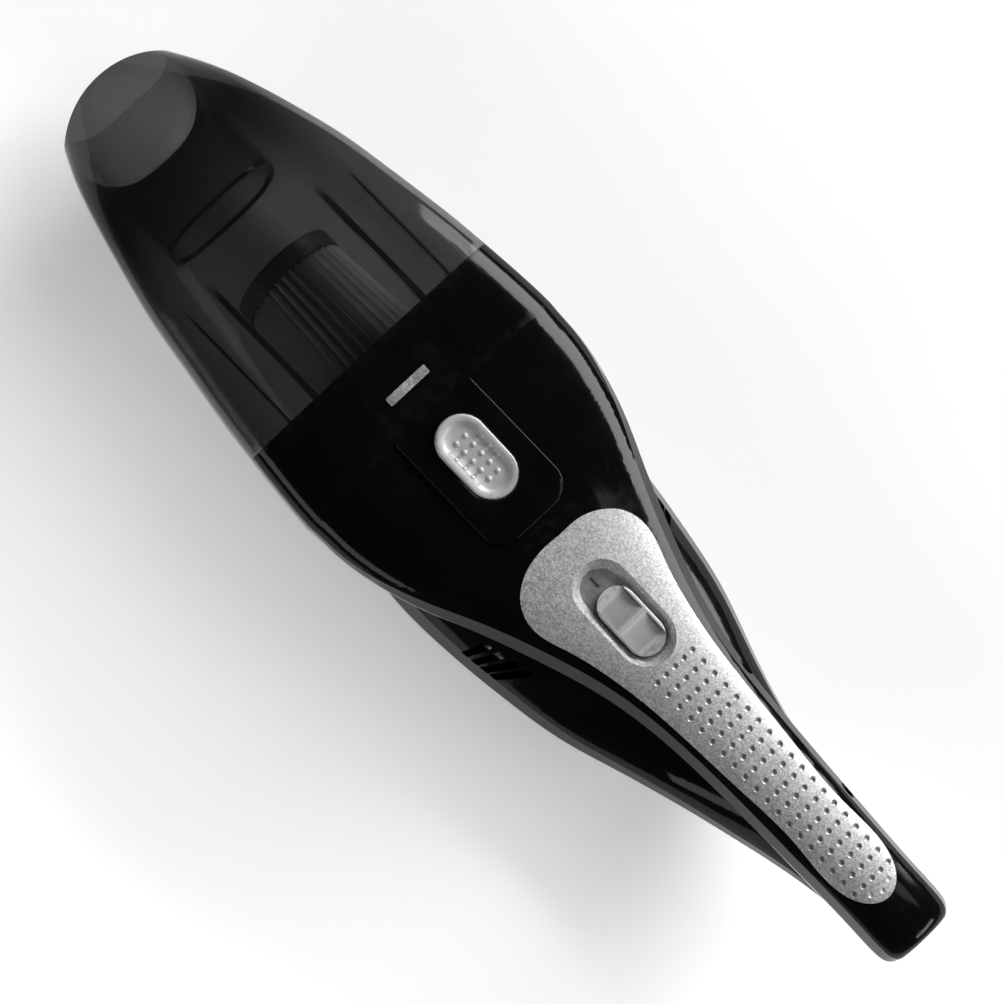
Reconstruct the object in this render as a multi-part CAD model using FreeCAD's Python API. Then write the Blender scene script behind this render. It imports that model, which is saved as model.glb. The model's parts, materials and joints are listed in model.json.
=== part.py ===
import FreeCAD, Part
import math
import os

# Cordless handheld vacuum: a smoked dust bowl, a two-piece gloss body with a loop handle, and its works.
#
# Frame: +X towards the nozzle, +Y to the vacuum's left, +Z up. The origin is at the middle of the length
# and width, on the surface that the belly stands on. Everything is in millimetres.

V = FreeCAD.Vector

# ---------------------------------------------------------------- body sizes
bowl_length = 171.0      # from the seam to the tip of the nozzle
body_length = 249.0      # from the seam to the tail
body_width = 115.8       # across the widest place, at the seam
belly_width = 99.6       # across the lower body
seam_top = 98.0          # section at the seam: top line, widest line, underside
seam_wide = 83.0
seam_low = 2.0
handle_rise = 7.6        # how far the handle's top stands above the seam's
grip_depth = 26.6        # handle, top to underside
belly_crest = 47.0       # top of the belly under the finger gap
belly_wide = 28.0        # height of the belly's widest line
foot_sink = 1.6          # how far the belly's rounding would reach below its flat foot
gap_start = 88.0         # from the seam to the front of the finger gap
gap_round = 14.0         # rounding of the finger gap's front

# ---------------------------------------------------------------- walls and clearances
wall = 2.6               # body shells
bowl_wall = 2.2          # dust bowl
collar_wall = 2.4        # opaque collar
fit_gap = 0.3            # between pieces that slide or drop into each other
close_gap = 0.05         # between pieces fixed to each other
bearing_gap = 0.05       # round a shaft

# ---------------------------------------------------------------- bowl
mouth_top = 46.0         # height of the nozzle's top lip
mouth_low = 4.0
mouth_setback = 38.0     # how far the bottom lip stands behind the top lip
lip_radius = 39.5        # plan rounding of the nozzle's tip
lip_height = 4.0         # upright part of the top lip
collar_length = 31.0
skirt_length = 6.0       # how far the bowl reaches into its collar
duct_width = 50.0
duct_low = 7.0
duct_top = 57.0
duct_rear = 102.6        # from the seam to the duct's open end
duct_wall = 1.8
duct_slant = 6.0         # how far the duct's open end leans, top ahead of bottom
rib_spacing = 51.0
rib_length = 55.0
rib_depth = 12.0
rib_thick = 1.3
bar_length = 18.0        # silver bar set in the collar
bar_width = 3.4
bar_round = 0.6
bar_from_seam = 12.4
inset_depth = 1.6        # how deep trim is let into a shell
trim_raise = 0.25        # how far trim stands proud

# ---------------------------------------------------------------- seam between body and bowl
spigot_length = 6.0
spigot_base = 4.0
spigot_wall = 2.4
root_step = 0.3          # the spigot's root is this much thinner inside
seal_thick = 2.0
collar_ledge = 1.8
catch_thick = 2.0
catch_width = 12.0

# ---------------------------------------------------------------- filter
flange_radius = 33.0
flange_thick = 3.0
filter_rear_radius = 26.5
filter_front_radius = 20.6
filter_length = 76.0     # flange to cap
pleat_start = 13.0       # plain neck behind the pleats
pleat_depth = 4.5
pleat_count = 36
cap_length = 6.5
filter_lean = 12.0       # degrees that the filter's front end leans, top ahead of bottom
filter_bore = 15.0

# ---------------------------------------------------------------- button, latch and trim panel
panel_width = 35.0
panel_length = 52.0
panel_round = 9.0
panel_raise = 1.2
button_length = 33.8
button_width = 18.8
button_from_seam = 22.0
button_raise = 0.8
button_travel = 2.5
button_skirt = 1.3       # rim that keeps the button under its panel
dish_depth = 1.1
dish_rim = 2.2
dot_pitch = 4.1
dot_radius = 1.2
latch_thick = 3.0
latch_width = 10.0
latch_block = 4.8        # lever's top to the button's underside
spring_radius = 3.4
spring_wire = 0.8
spring_turns = 4.5
shelf_thick = 2.5

# ---------------------------------------------------------------- inlay and power switch
inlay_start = 60.6       # from the seam to the front of the silver inlay
inlay_end = 229.0
inlay_skirt = 4.0        # depth of the inlay's wall round the switch
switch_from_seam = 95.2  # middle of the switch opening
switch_length = 44.6
switch_width = 23.0
bevel_side = 4.1
slider_length = 28.0
slider_width = 14.3
slider_travel = 8.0
slider_height = 3.4
ridge_width = 3.8
plate_thick = 1.4
post_size = 4.0
post_length = 5.0
dimple_pitch_x = 5.53
dimple_pitch_y = 4.2
dimple_radius = 1.5
dimple_depth = 0.5
dimple_start = 120.7
dimple_columns = 19
switch_box = (26.0, 12.0, 9.0)

# ---------------------------------------------------------------- works
bulkhead_thick = 3.0
bulkhead_gap = 1.2       # inside the shell, which narrows behind the seam
shroud_radius = 33.0
shroud_length = 23.0
shroud_wall = 1.8
inlet_radius = 15.0
impeller_radius = 28.5
blade_height = 10.0
blade_thick = 1.0
blade_count = 12
motor_radius = 16.0
motor_length = 40.0
end_cap_length = 4.0
shaft_radius = 1.6
mount_thick = 3.0        # rubber ring round the motor
mount_length = 8.0
cradle_thick = 4.0
cell_radius = 9.1
cell_length = 65.0
cell_gap = 0.4
cell_to_floor = 1.6
holder_plate = 2.0
works_gap = 6.0          # between the motor's terminals and the battery
boss_radius = 4.0
screw_radius = 1.5
head_radius = 2.9
head_height = 2.2
head_depth = 12.0        # from the parting plane to under the screw head
lead_radius = 0.9
lead_spacing = 5.0
board_length = 20.0
board_width = 16.0
board_thick = 1.6
board_drop = 1.0         # socket's axis to the board's top
socket_radius = 5.0
socket_length = 12.0
socket_bore = 2.75
socket_depth = 9.0
pin_radius = 1.0

# ---------------------------------------------------------------- vents
vent_count = 4
vent_length = 15.0
vent_width = 2.6
vent_pitch = 5.2
vent_from_seam = 71.0
vent_from_middle = 43.0

# ---------------------------------------------------------------- places that follow from the sizes
x_nose = (bowl_length + body_length) / 2
x_tail = -x_nose
x_seam = x_nose - bowl_length
x_collar = x_seam + collar_length
half_body = body_width / 2
half_belly = belly_width / 2
grip_top = seam_top + handle_rise
far = 4 * x_nose
works_z = (seam_top + seam_low) / 2 - 2.0

x_bulkhead = x_seam - spigot_base            # front face of the bulkhead
x_shroud = x_bulkhead - bulkhead_thick - 0.5
x_motor = x_shroud - shroud_length           # front face of the motor
x_end_cap = x_motor - motor_length
x_battery = x_end_cap - end_cap_length - works_gap
x_battery_end = x_battery - cell_length
works_reach = x_seam - x_battery_end
bay_share = 0.6          # share of the belly's outline that spans the works

seal_back = x_bulkhead + 0.1
flange_back = seal_back + seal_thick
flange_front = flange_back + flange_thick
cap_back = flange_back + filter_length - cap_length

latch_top = seam_top - 10.5
latch_low = latch_top - latch_thick
shelf_top = latch_low - 6.5
x_button = x_seam - button_from_seam
x_switch = x_seam - switch_from_seam
switch_top = grip_top - 0.2
plate_top = switch_top - inlay_skirt


def back(share):
    """X of a place on the body, from 0 at the seam to 1 at the tail."""
    return x_seam - share * body_length


def ahead(share):
    """X of a place on the bowl, from 0 at the seam to 1 at the tip."""
    return x_seam + share * bowl_length


def belly_share(x):
    """Place on the belly's outline: its front is as long as the works it holds, the rest runs to the tail."""
    reach = x_seam - x
    if reach <= works_reach:
        return bay_share * reach / works_reach
    return bay_share + (1 - bay_share) * (reach - works_reach) / (body_length - works_reach)


def belly_x(share):
    """X of a place on the belly's outline."""
    if share <= bay_share:
        return x_seam - works_reach * share / bay_share
    return x_seam - works_reach - (body_length - works_reach) * (share - bay_share) / (1 - bay_share)


def curve_through(points):
    """A smooth function through a few points: a natural cubic spline, straight beyond its ends."""
    xs = [p[0] for p in points]
    ys = [p[1] for p in points]
    n = len(xs)
    gap = [xs[i + 1] - xs[i] for i in range(n - 1)]
    slope = [(ys[i + 1] - ys[i]) / gap[i] for i in range(n - 1)]
    upper = [0.0] * n
    rhs = [0.0] * n
    for i in range(1, n - 1):
        pivot = 2 * (gap[i - 1] + gap[i]) - gap[i - 1] * upper[i - 1]
        upper[i] = gap[i] / pivot
        rhs[i] = (6 * (slope[i] - slope[i - 1]) - gap[i - 1] * rhs[i - 1]) / pivot
    bend = [0.0] * n
    for i in range(n - 2, 0, -1):
        bend[i] = rhs[i] - upper[i] * bend[i + 1]

    def value(x):
        if x >= xs[-1]:
            end = slope[-1] + gap[-1] * (bend[-2] + 2 * bend[-1]) / 6
            return ys[-1] + end * (x - xs[-1])
        i = 0
        while i < n - 2 and x > xs[i + 1]:
            i += 1
        lead = slope[i] - gap[i] * (2 * bend[i] + bend[i + 1]) / 6
        d = x - xs[i]
        if d <= 0:
            return ys[i] + lead * d
        return ys[i] + lead * d + bend[i] * d * d / 2 + (bend[i + 1] - bend[i]) * d ** 3 / (6 * gap[i])

    return value


# ---------------------------------------------------------------- outlines: share of the way, size there
grip_half_share = curve_through([(-0.05, 1.0), (0, 1.0), (0.09, 0.966), (0.147, 0.905), (0.203, 0.818),
                                 (0.258, 0.713), (0.316, 0.612), (0.368, 0.529), (0.433, 0.436), (0.494,
                                                                                                  0.374),
                                 (0.563, 0.332), (0.68, 0.298), (0.81, 0.28), (0.9, 0.271), (1, 0.266)])
grip_top_drop = curve_through([(0, handle_rise), (0.09, 4.3), (0.25, 1.0), (0.39, 0.0), (0.6, 0.4), (0.8,
                                                                                                     2.8),
                               (0.93, 5.6), (1, 8.1)])
grip_wide_drop = curve_through([(0, grip_top - seam_wide), (0.15, 17.5), (0.3, 12.6), (0.45, 10.6), (0.55,
                                                                                                     10.3),
                                (0.68, 12.6), (0.81, 15.6), (0.9, 18.1), (1, 20.6)])
grip_low_drop = curve_through([(0, 20.0), (0.2, 10.0), (0.3, 5.0), (0.4, 1.5), (0.55, 0.0), (0.7, 1.6),
                               (0.85, 7.0), (1, 14.0)])
grip_ledge = curve_through([(0, 0.5), (0.1, 1.2), (0.22, 3.0), (0.5, 3.0), (0.7, 2.4), (1, 2.0)])
barrel_half_share = curve_through([(0, 1.0), (0.09, 0.945), (0.18, 0.80), (0.25, 0.64), (0.33, 0.47),
                                   (0.375, 0.31),
                                   (0.42, 0.12)])
barrel_low = curve_through([(0, 0.0), (0.09, -0.8), (0.18, 1.0), (0.25, 9.0), (0.33, 24.0), (0.42, 40.0)])
belly_half_share = curve_through([(0.03, 0.9), (0.137, 0.99), (0.175, 1.0), (0.23, 0.99), (0.29, 0.966),
                                  (0.37, 0.914), (0.425, 0.871), (0.48, 0.813), (0.536, 0.728), (0.59,
                                                                                                 0.638),
                                  (0.647, 0.55), (0.70, 0.472), (0.76, 0.40), (0.81, 0.345), (0.87, 0.30),
                                  (0.95, 0.26)])
belly_low = curve_through([(0.03, 3.0), (0.1, 1.0), (0.2, 0.0), (0.4, 0.0), (0.48, 0.6), (0.536, 2.2),
                           (0.59, 5.0),
                           (0.647, 10.5), (0.70, 18.5), (0.76, 30.0), (0.81, 42.0), (0.87, 56.0), (0.95,
                                                                                                   72.0)])
belly_rise = curve_through([(0.03, 0.0), (0.59, 0.0), (0.647, 2.0), (0.70, 8.0), (0.76, 18.0), (0.81, 30.0),
                            (0.87, 44.0), (0.95, 55.0)])
belly_top = curve_through([(0.03, 15.0), (0.17, 10.0), (0.29, 5.5), (0.37, 2.5), (0.48, 0.0), (0.59, 0.0),
                           (0.647, 2.0), (0.70, 8.0), (0.76, 17.5), (0.81, 27.0), (0.87, 34.0), (0.95,
                                                                                                 38.0)])
bowl_half_share = curve_through([(-0.05, 1.0), (0, 1.0), (0.157, 0.968), (0.283, 0.929), (0.409, 0.875),
                                 (0.56, 0.803), (0.704, 0.698), (0.78, 0.638), (0.874, 0.544), (0.937,
                                                                                                0.462),
                                 (1, 0.37), (1.06, 0.285)])
bowl_fall = curve_through([(0, 0.0), (0.12, 0.04), (0.283, 0.106), (0.5, 0.25), (0.704, 0.46), (0.874,
                                                                                                0.73),
                           (0.937, 0.854), (1, 1.0), (1.06, 1.17)])
bowl_wide_fall = curve_through([(0, 0.0), (0.283, 0.08), (0.5, 0.196), (0.704, 0.384), (0.79, 0.518),
                                (0.874, 0.705), (0.937, 0.86), (1, 1.0), (1.06, 1.09)])
bowl_low_rise = curve_through([(0, 0.0), (0.5, 0.5), (0.767, 2.0), (1.06, 4.0)])
inlay_margin = curve_through([(0.245, 12.0), (0.316, 8.9), (0.425, 6.7), (0.563, 4.9), (0.68, 5.1), (0.9,
                                                                                                     5.4)])

crown_power = 2.3
under_power = 2.7
bowl_under_power = 2.8
belly_crown_power = 2.1
belly_under_power = 2.6
belly_ledge = 3.0
tail_round = 7.0
tail_pinch = 3.9


# ---------------------------------------------------------------- plain solids
def box(x0, x1, y0, y1, z0, z1):
    return Part.makeBox(x1 - x0, y1 - y0, z1 - z0, V(x0, y0, z0))


def rod_x(x0, x1, radius, y=0.0, z=works_z):
    return Part.makeCylinder(radius, x1 - x0, V(x0, y, z), V(1, 0, 0))


def rod_y(x, z, radius, y0, y1):
    return Part.makeCylinder(radius, y1 - y0, V(x, y0, z), V(0, 1, 0))


def stadium_wire(x_mid, length, width, z):
    """A slot outline, long along X."""
    r = width / 2
    a = length / 2 - r
    p = [V(x_mid + a, -r, z), V(x_mid + a + r, 0, z), V(x_mid + a, r, z)]
    q = [V(x_mid - a, r, z), V(x_mid - a - r, 0, z), V(x_mid - a, -r, z)]
    front = Part.Arc(*p).toShape()
    rear = Part.Arc(*q).toShape()
    left = Part.LineSegment(p[2], q[0]).toShape()
    right = Part.LineSegment(q[2], p[0]).toShape()
    return Part.Wire([front, left, rear, right])


def stadium(x_mid, length, width, z0, z1):
    return Part.Face(stadium_wire(x_mid, length, width, z0)).extrude(V(0, 0, z1 - z0))


def stadium_taper(x_mid, length, width, z0, shrink, z1):
    """A slot-shaped plug that is narrower by shrink on every side at z1."""
    low = stadium_wire(x_mid, length, width, z0)
    high = stadium_wire(x_mid, length - 2 * shrink, width - 2 * shrink, z1)
    return Part.makeLoft([low, high], True)


def bent_path(points):
    """Straight runs joined by tangent arcs as large as the runs allow."""
    edges = []
    start = points[0]
    for i in range(1, len(points) - 1):
        before = (points[i] - points[i - 1]).normalize()
        after = (points[i + 1] - points[i]).normalize()
        reach = 0.45 * min((points[i] - points[i - 1]).Length, (points[i + 1] - points[i]).Length)
        enter = points[i] - before * reach
        leave = points[i] + after * reach
        turn = before.getAngle(after)
        bisector = (after - before).normalize()
        radius = reach / math.tan(turn / 2)
        middle = points[i] + bisector * (radius / math.cos(turn / 2) - radius)
        edges.append(Part.LineSegment(start, enter).toShape())
        edges.append(Part.Arc(enter, middle, leave).toShape())
        start = leave
    edges.append(Part.LineSegment(start, points[-1]).toShape())
    return Part.Wire(edges)


def bent_tube(points, radius):
    path = bent_path(points)
    heading = points[1] - points[0]
    ring = Part.Wire([Part.Circle(points[0], heading, radius).toShape()])
    return path.makePipeShell([ring], True, False)


# ---------------------------------------------------------------- section wires
def arch(x, half, z_wide, z_end, power, start, stop, count):
    """Points of a superellipse arc from angle start to stop, seen along X."""
    points = []
    for i in range(count + 1):
        t = start + (stop - start) * i / count
        c = math.cos(t)
        s = max(0.0, math.sin(t))
        y = half * math.copysign(abs(c) ** (2 / power), c)
        points.append(V(x, y, z_wide + (z_end - z_wide) * s ** (2 / power)))
    return points


def spline(points):
    curve = Part.BSplineCurve()
    curve.interpolate(points)
    return curve.toShape()


def closed_spline(points):
    curve = Part.BSplineCurve()
    curve.interpolate(Points=points, PeriodicFlag=True)
    return Part.Wire([curve.toShape()])


def ledged_section(x, half, z_top, z_wide, z_low, ledge, top_power, low_power):
    """A crowned top down to a crease, a narrow slanting ledge to the widest line, a rounded underside."""
    t = math.acos(((half - ledge) / half) ** (top_power / 2))
    crown = arch(x, half, z_wide, z_top, top_power, t, math.pi - t, 14)
    under = arch(x, half, z_wide, z_low, low_power, 0, math.pi, 18)
    left = Part.LineSegment(under[0], crown[0]).toShape()
    right = Part.LineSegment(crown[-1], under[-1]).toShape()
    return Part.Wire([left, spline(crown), right, spline(under[::-1])])


def capped_section(x, half, z_top, z_low, low_power):
    """A flat top at the widest line with a rounded underside."""
    under = arch(x, half, z_top, z_low, low_power, 0, math.pi, 18)
    return Part.Wire([Part.LineSegment(under[0], under[-1]).toShape(), spline(under[::-1])])


def round_section(x, half, z_low, z_top, power):
    """A closed rounded-square section."""
    z_mid = (z_low + z_top) / 2
    over = arch(x, half, z_mid, z_top, power, 0, math.pi, 14)
    under = arch(x, half, z_mid, z_low, power, 0, math.pi, 14)
    return Part.Wire([spline(over), spline(under[::-1])])


# ---------------------------------------------------------------- forms: each can be grown all over
def grip_half(x):
    return half_body * grip_half_share((x_seam - x) / body_length)


def grip_crown(x):
    return grip_top - grip_top_drop((x_seam - x) / body_length)


def grip_section(x, grow):
    """The upper form: crown, ledge and the handle's underside."""
    share = (x_seam - x) / body_length
    pinch = max(0.0, (x_tail + tail_round - x) / tail_round)
    shrink = tail_pinch * (1 - math.sqrt(max(0.0, 1 - min(pinch, 1.0) ** 2)))
    low = grip_top - grip_depth - grip_low_drop(share) - grow + shrink
    return ledged_section(x, grip_half(x) + grow - shrink, grip_crown(x) + grow - shrink,
                          grip_top - grip_wide_drop(share), low, grip_ledge(share), crown_power,
                          under_power)


def grip_form(grow, x_front=x_seam, x_rear=x_tail):
    """The upper form from the seam to the tail, or a slice of it."""
    xs = [back(s) for s in (0.05, 0.1, 0.15, 0.2, 0.25, 0.31, 0.37, 0.43, 0.5, 0.57, 0.66, 0.75, 0.84,
                            0.92)]
    xs += [x_tail + tail_round * (1 - p) for p in (0.0, 0.45, 0.75, 0.93)]
    end = max(x_rear, x_tail - min(grow, 0.0))
    xs = [x_front] + [x for x in xs if end + 1 < x < x_front - 2] + [end]
    return Part.makeLoft([grip_section(x, grow) for x in xs], True)


def barrel_form(grow, x_front=x_seam):
    """The motor housing below the upper form."""
    wires = []
    for share in (0.0, 0.045, 0.09, 0.135, 0.18, 0.21, 0.25, 0.29, 0.33, 0.36, 0.39, 0.42):
        x = back(share) if share else x_front
        s = max(0.0, (x_seam - x) / body_length)
        wires.append(capped_section(x, half_body * barrel_half_share(s) + grow,
                                    grip_top - grip_wide_drop(s),
                                    seam_low + barrel_low(s) - grow, bowl_under_power))
    return Part.makeLoft(wires, True)


def belly_form(grow):
    """The boat-shaped pod under the handle, with its flat foot."""
    wires = []
    for share in (0.03, 0.08, 0.137, 0.2, 0.26, 0.32, 0.38, 0.44, 0.5, 0.56, 0.62, 0.68, 0.74, 0.8, 0.86,
                  0.91, 0.95):
        wires.append(ledged_section(belly_x(share), half_belly * belly_half_share(share) + grow,
                                    belly_crest + belly_top(share) + grow, belly_wide + belly_rise(share),
                                    belly_low(share) - foot_sink - grow,
                                    belly_ledge * belly_half_share(share),
                                    belly_crown_power, belly_under_power))
    pod = Part.makeLoft(wires, True)
    return pod.cut(box(-far, far, -far, far, -far, -min(grow, 0.0)))


def finger_gap(grow):
    """The rounded front of the finger gap, as a tool that runs right through."""
    x0 = x_seam - gap_start + grow
    low = belly_crest + 1.6 - grow
    top = grip_top - grip_depth + 6.0
    mid = (belly_crest + grip_top - grip_depth) / 2 + 1.0
    g = gap_round
    nose = [V(x0 - 1.2 * g, -far, low), V(x0 - 0.75 * g, -far, low + 2.0), V(x0 - 0.25 * g, -far,
                                                                             low + 8.0),
            V(x0, -far, mid), V(x0 - 0.3 * g, -far, top - 5.0), V(x0 - 0.9 * g, -far, top)]
    rear = V(x0 - 3.0 * g, -far, top)
    heel = V(x0 - 3.0 * g, -far, low)
    edges = [spline(nose), Part.LineSegment(nose[-1], rear).toShape(), Part.LineSegment(rear,
                                                                                        heel).toShape(),
             Part.LineSegment(heel, nose[0]).toShape()]
    return Part.Face(Part.Wire(edges)).extrude(V(0, 2 * far, 0))


def body_form(grow, x_front):
    lower = barrel_form(grow, x_front).fuse(belly_form(grow)).cut(finger_gap(-grow))
    return grip_form(grow, x_front).fuse(lower)


def bowl_section(x, grow):
    s = (x - x_seam) / bowl_length
    tip_wide = mouth_low + 23.0
    return ledged_section(x, half_body * bowl_half_share(s) + grow,
                          seam_top - (seam_top - mouth_top) * bowl_fall(s) + grow,
                          seam_wide - (seam_wide - tip_wide) * bowl_wide_fall(s),
                          seam_low + (mouth_low - seam_low) / 2 * bowl_low_rise(s) - grow, 0.5, crown_power,
                          bowl_under_power)


def bowl_form(grow, x_rear=x_seam, x_front=None):
    """The dust bowl's form from the seam to past the nozzle's lip, or a slice of it."""
    if x_front is None:
        x_front = ahead(1.055)
    shares = (0.04, 0.08, 0.16, 0.26, 0.36, 0.46, 0.56, 0.66, 0.75, 0.83, 0.9, 0.96, 1.0)
    xs = [x_rear] + [ahead(s) for s in shares if x_rear + 2 < ahead(s) < x_front - 2] + [x_front]
    return Part.makeLoft([bowl_section(x, grow) for x in xs], True)


def seam_slab(grow, x0, x1):
    """A straight slice with the seam's outline."""
    ring = bowl_section(x_seam, grow)
    ring.translate(V(x0 - x_seam, 0, 0))
    return Part.Face(ring).extrude(V(x1 - x0, 0, 0))


def bowl_ring(grow, thick, x0, x1):
    """A band that follows the bowl's form, thick measured inwards."""
    return bowl_form(grow, x0, x1).cut(bowl_form(grow - thick, x0 - 0.5, x1 + 0.5))


# ---------------------------------------------------------------- dust bowl
def mouth_tool(setback):
    """Everything ahead of the nozzle's rounded, slanting mouth, moved back by setback."""
    x_lip = x_nose - setback
    slant = [V(x_lip + 1, -far, mouth_top - lip_height), V(x_lip - mouth_setback, -far, mouth_low - 2.0),
             V(x_lip - mouth_setback, -far, -far), V(far, -far, -far), V(far, -far, mouth_top - lip_height)]
    wedge = Part.Face(Part.makePolygon(slant + slant[:1])).extrude(V(0, 2 * far, 0))
    x_round = x_nose - lip_radius
    ahead_of_tip = box(x_round + lip_radius / 3, far, -far, far, -far, far)
    tip = Part.makeCylinder(lip_radius - setback, 2 * far, V(x_round, 0, -far))
    return wedge.fuse(ahead_of_tip.cut(tip))


def duct_tube(grow):
    x0 = x_seam + duct_rear
    half = duct_width / 2 + grow
    wires = [round_section(x, half, duct_low - grow, duct_top + grow, 3.0) for x in (x0, x_nose + 1)]
    return Part.makeLoft(wires, True)


def dust_bowl():
    inside = bowl_form(-bowl_wall, x_collar - 1)
    bowl = bowl_form(0, x_collar).cut(inside)
    skirt_out = collar_wall + close_gap
    step = bowl_form(-bowl_wall / 2, x_collar, x_collar + 3)
    tongue = bowl_form(-skirt_out, x_collar - skirt_length, x_collar + 1)
    hollow = bowl_form(-skirt_out - bowl_wall, x_collar - skirt_length - 1, x_collar + 4)
    ribs = []
    for side in (-1, 1):
        y = side * rib_spacing / 2
        ribs.append(box(x_collar, x_collar + rib_length, y - rib_thick / 2, y + rib_thick / 2,
                        seam_top - rib_depth - 9.0, seam_top))
    ribs = Part.makeCompound(ribs).common(bowl_form(-bowl_wall / 2, x_collar, x_collar + rib_length + 4))
    low_trim = bowl_form(-bowl_wall - rib_depth, x_collar - 1, x_collar + rib_length + 4)
    ribs = ribs.cut(low_trim)
    bowl = bowl.fuse([step.fuse(tongue).cut(hollow), ribs])
    return bowl.cut(mouth_tool(0))


def intake_duct():
    inside = bowl_form(-bowl_wall - close_gap, x_seam + duct_rear - 2)
    web = mouth_tool(duct_wall + 1.0).cut(mouth_tool(0.0))
    low_half = box(-far, x_nose - lip_radius / 3, -far, far, -far, mouth_top)
    collar = web.common(low_half).common(inside)
    tube = duct_tube(0).common(inside)
    duct = tube.fuse(collar).cut(duct_tube(-duct_wall))
    x0 = x_seam + duct_rear
    lean = [V(x0 - 9, -far, duct_low - 5), V(x0, -far, duct_low - 5), V(x0 + duct_slant, -far,
                                                                        duct_top + 5),
            V(x0 - 9, -far, duct_top + 5)]
    lean = Part.Face(Part.makePolygon(lean + lean[:1])).extrude(V(0, 2 * far, 0))
    duct = duct.cut([mouth_tool(1.0), lean])
    return max(duct.Solids, key=lambda solid: solid.Volume)


def bowl_collar():
    collar = bowl_form(0, x_seam, x_collar).cut(bowl_form(-collar_wall, x_seam - 1, x_collar + 1))
    x_ledge = x_seam + spigot_length + seal_thick + 0.1
    ledge = bowl_ring(-collar_wall / 2, collar_wall / 2 + spigot_wall + fit_gap, x_ledge,
                      x_ledge + collar_ledge)
    x_catch = x_ledge + collar_ledge
    catch = box(x_catch - 0.5, x_catch + catch_thick, -catch_width / 2, catch_width / 2, latch_top + 2.5,
                seam_top)
    catch = catch.common(bowl_form(-collar_wall / 2, x_catch - 2, x_catch + 4))
    return collar.fuse([ledge, catch]).cut(bar_pocket(fit_gap / 3))


def bar_pocket(gap):
    """The place of the silver bar, cut down to the trim's depth."""
    x_bar = x_seam + bar_from_seam
    half_x = bar_width / 2 + gap
    half_y = bar_length / 2 + gap
    slot = box(x_bar - half_x, x_bar + half_x, -half_y, half_y, seam_top - 8.0, seam_top + 12.0)
    upright = [e for e in slot.Edges if abs(e.Vertexes[0].Z - e.Vertexes[1].Z) > 1]
    return slot.makeFillet(bar_round + gap, upright).cut(bowl_form(-inset_depth, x_bar - 6, x_bar + 6))


def collar_bar():
    x_bar = x_seam + bar_from_seam
    return bar_pocket(0).common(bowl_form(trim_raise, x_bar - 5.5, x_bar + 5.5))


# ---------------------------------------------------------------- filter
def pleat_ring(x, outer, inner):
    """A star outline with one point per pleat."""
    points = []
    for i in range(2 * pleat_count):
        r = outer if i % 2 == 0 else inner
        a = math.pi * i / pleat_count
        points.append(V(x, r * math.cos(a), works_z + r * math.sin(a)))
    return Part.makePolygon(points + points[:1])


def filter_radius(x):
    share = (x - flange_front) / (cap_back - flange_front)
    return filter_rear_radius + (filter_front_radius - filter_rear_radius) * share


def ahead_of_filter(x):
    """Everything ahead of the leaning plane that crosses the filter's axis at x."""
    tool = box(x, x + 6 * flange_radius, -far, far, works_z - 3 * flange_radius,
               works_z + 3 * flange_radius)
    tool.rotate(V(x, 0, works_z), V(0, 1, 0), filter_lean)
    return tool


def filter_pleats():
    x0 = flange_front + pleat_start
    x1 = cap_back + cap_length
    rings = [pleat_ring(x, filter_radius(x), filter_radius(x) - pleat_depth) for x in (x0, x1)]
    return Part.makeLoft(rings, True, True).cut([rod_x(x0 - 1, x1 + 1, filter_bore),
                                                 ahead_of_filter(cap_back)])


def filter_frame():
    """Flange, plain neck and the perforated core behind the pleats."""
    x0 = flange_front + pleat_start
    neck = rod_x(flange_front - 1, x0, filter_rear_radius)
    core = rod_x(flange_back, cap_back + cap_length, filter_bore - close_gap).cut(ahead_of_filter(cap_back))
    frame = rod_x(flange_back, flange_front, flange_radius).fuse([neck, core])
    frame = frame.cut(rod_x(flange_back - 1, cap_back + cap_length, filter_bore - 1.5))
    windows = []
    for i in range(6):
        slot = box(x0 + 3, cap_back - 7, -3.0, 3.0, 0, filter_bore + 3)
        slot.translate(V(0, 0, works_z))
        slot.rotate(V(0, 0, works_z), V(1, 0, 0), 60 * i)
        windows.append(slot)
    windows = Part.makeCompound(windows).cut(rod_x(x0, cap_back, 5.0))
    return frame.cut(windows)


def filter_cap():
    """A leaning disc that closes the filter's front, with a shallow recess."""
    radius = filter_radius(cap_back) + 0.4
    rod = rod_x(cap_back - cap_length, cap_back + 3 * cap_length, radius)
    recess = rod_x(cap_back, far, radius - 4.0).common(ahead_of_filter(cap_back + cap_length - 1.2))
    return rod.common(ahead_of_filter(cap_back)).cut([ahead_of_filter(cap_back + cap_length), recess])


def filter_seal():
    return rod_x(seal_back, flange_back, flange_radius - 1).cut(rod_x(seal_back - 1, far,
                                                                      filter_rear_radius - 1))


# ---------------------------------------------------------------- trim panel, button and latch
def panel_plan(gap, z0, z1):
    """The trim panel's plan: square at the seam, rounded behind."""
    half = panel_width / 2 + gap
    x_end = x_seam - panel_length - gap
    r = panel_round + gap
    bend = r * (1 - math.sqrt(0.5))
    a = [V(x_seam, -half, z0), V(x_end + r, -half, z0), V(x_end + bend, -half + bend, z0), V(x_end,
                                                                                             -half + r, z0)]
    b = [V(p.x, -p.y, z0) for p in a]
    edges = [Part.LineSegment(a[0], a[1]).toShape(), Part.Arc(a[1], a[2], a[3]).toShape(),
             Part.LineSegment(a[3], b[3]).toShape(), Part.Arc(b[3], b[2], b[1]).toShape(),
             Part.LineSegment(b[1], b[0]).toShape(), Part.LineSegment(b[0], a[0]).toShape()]
    return Part.Face(Part.Wire(edges)).extrude(V(0, 0, z1 - z0))


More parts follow.
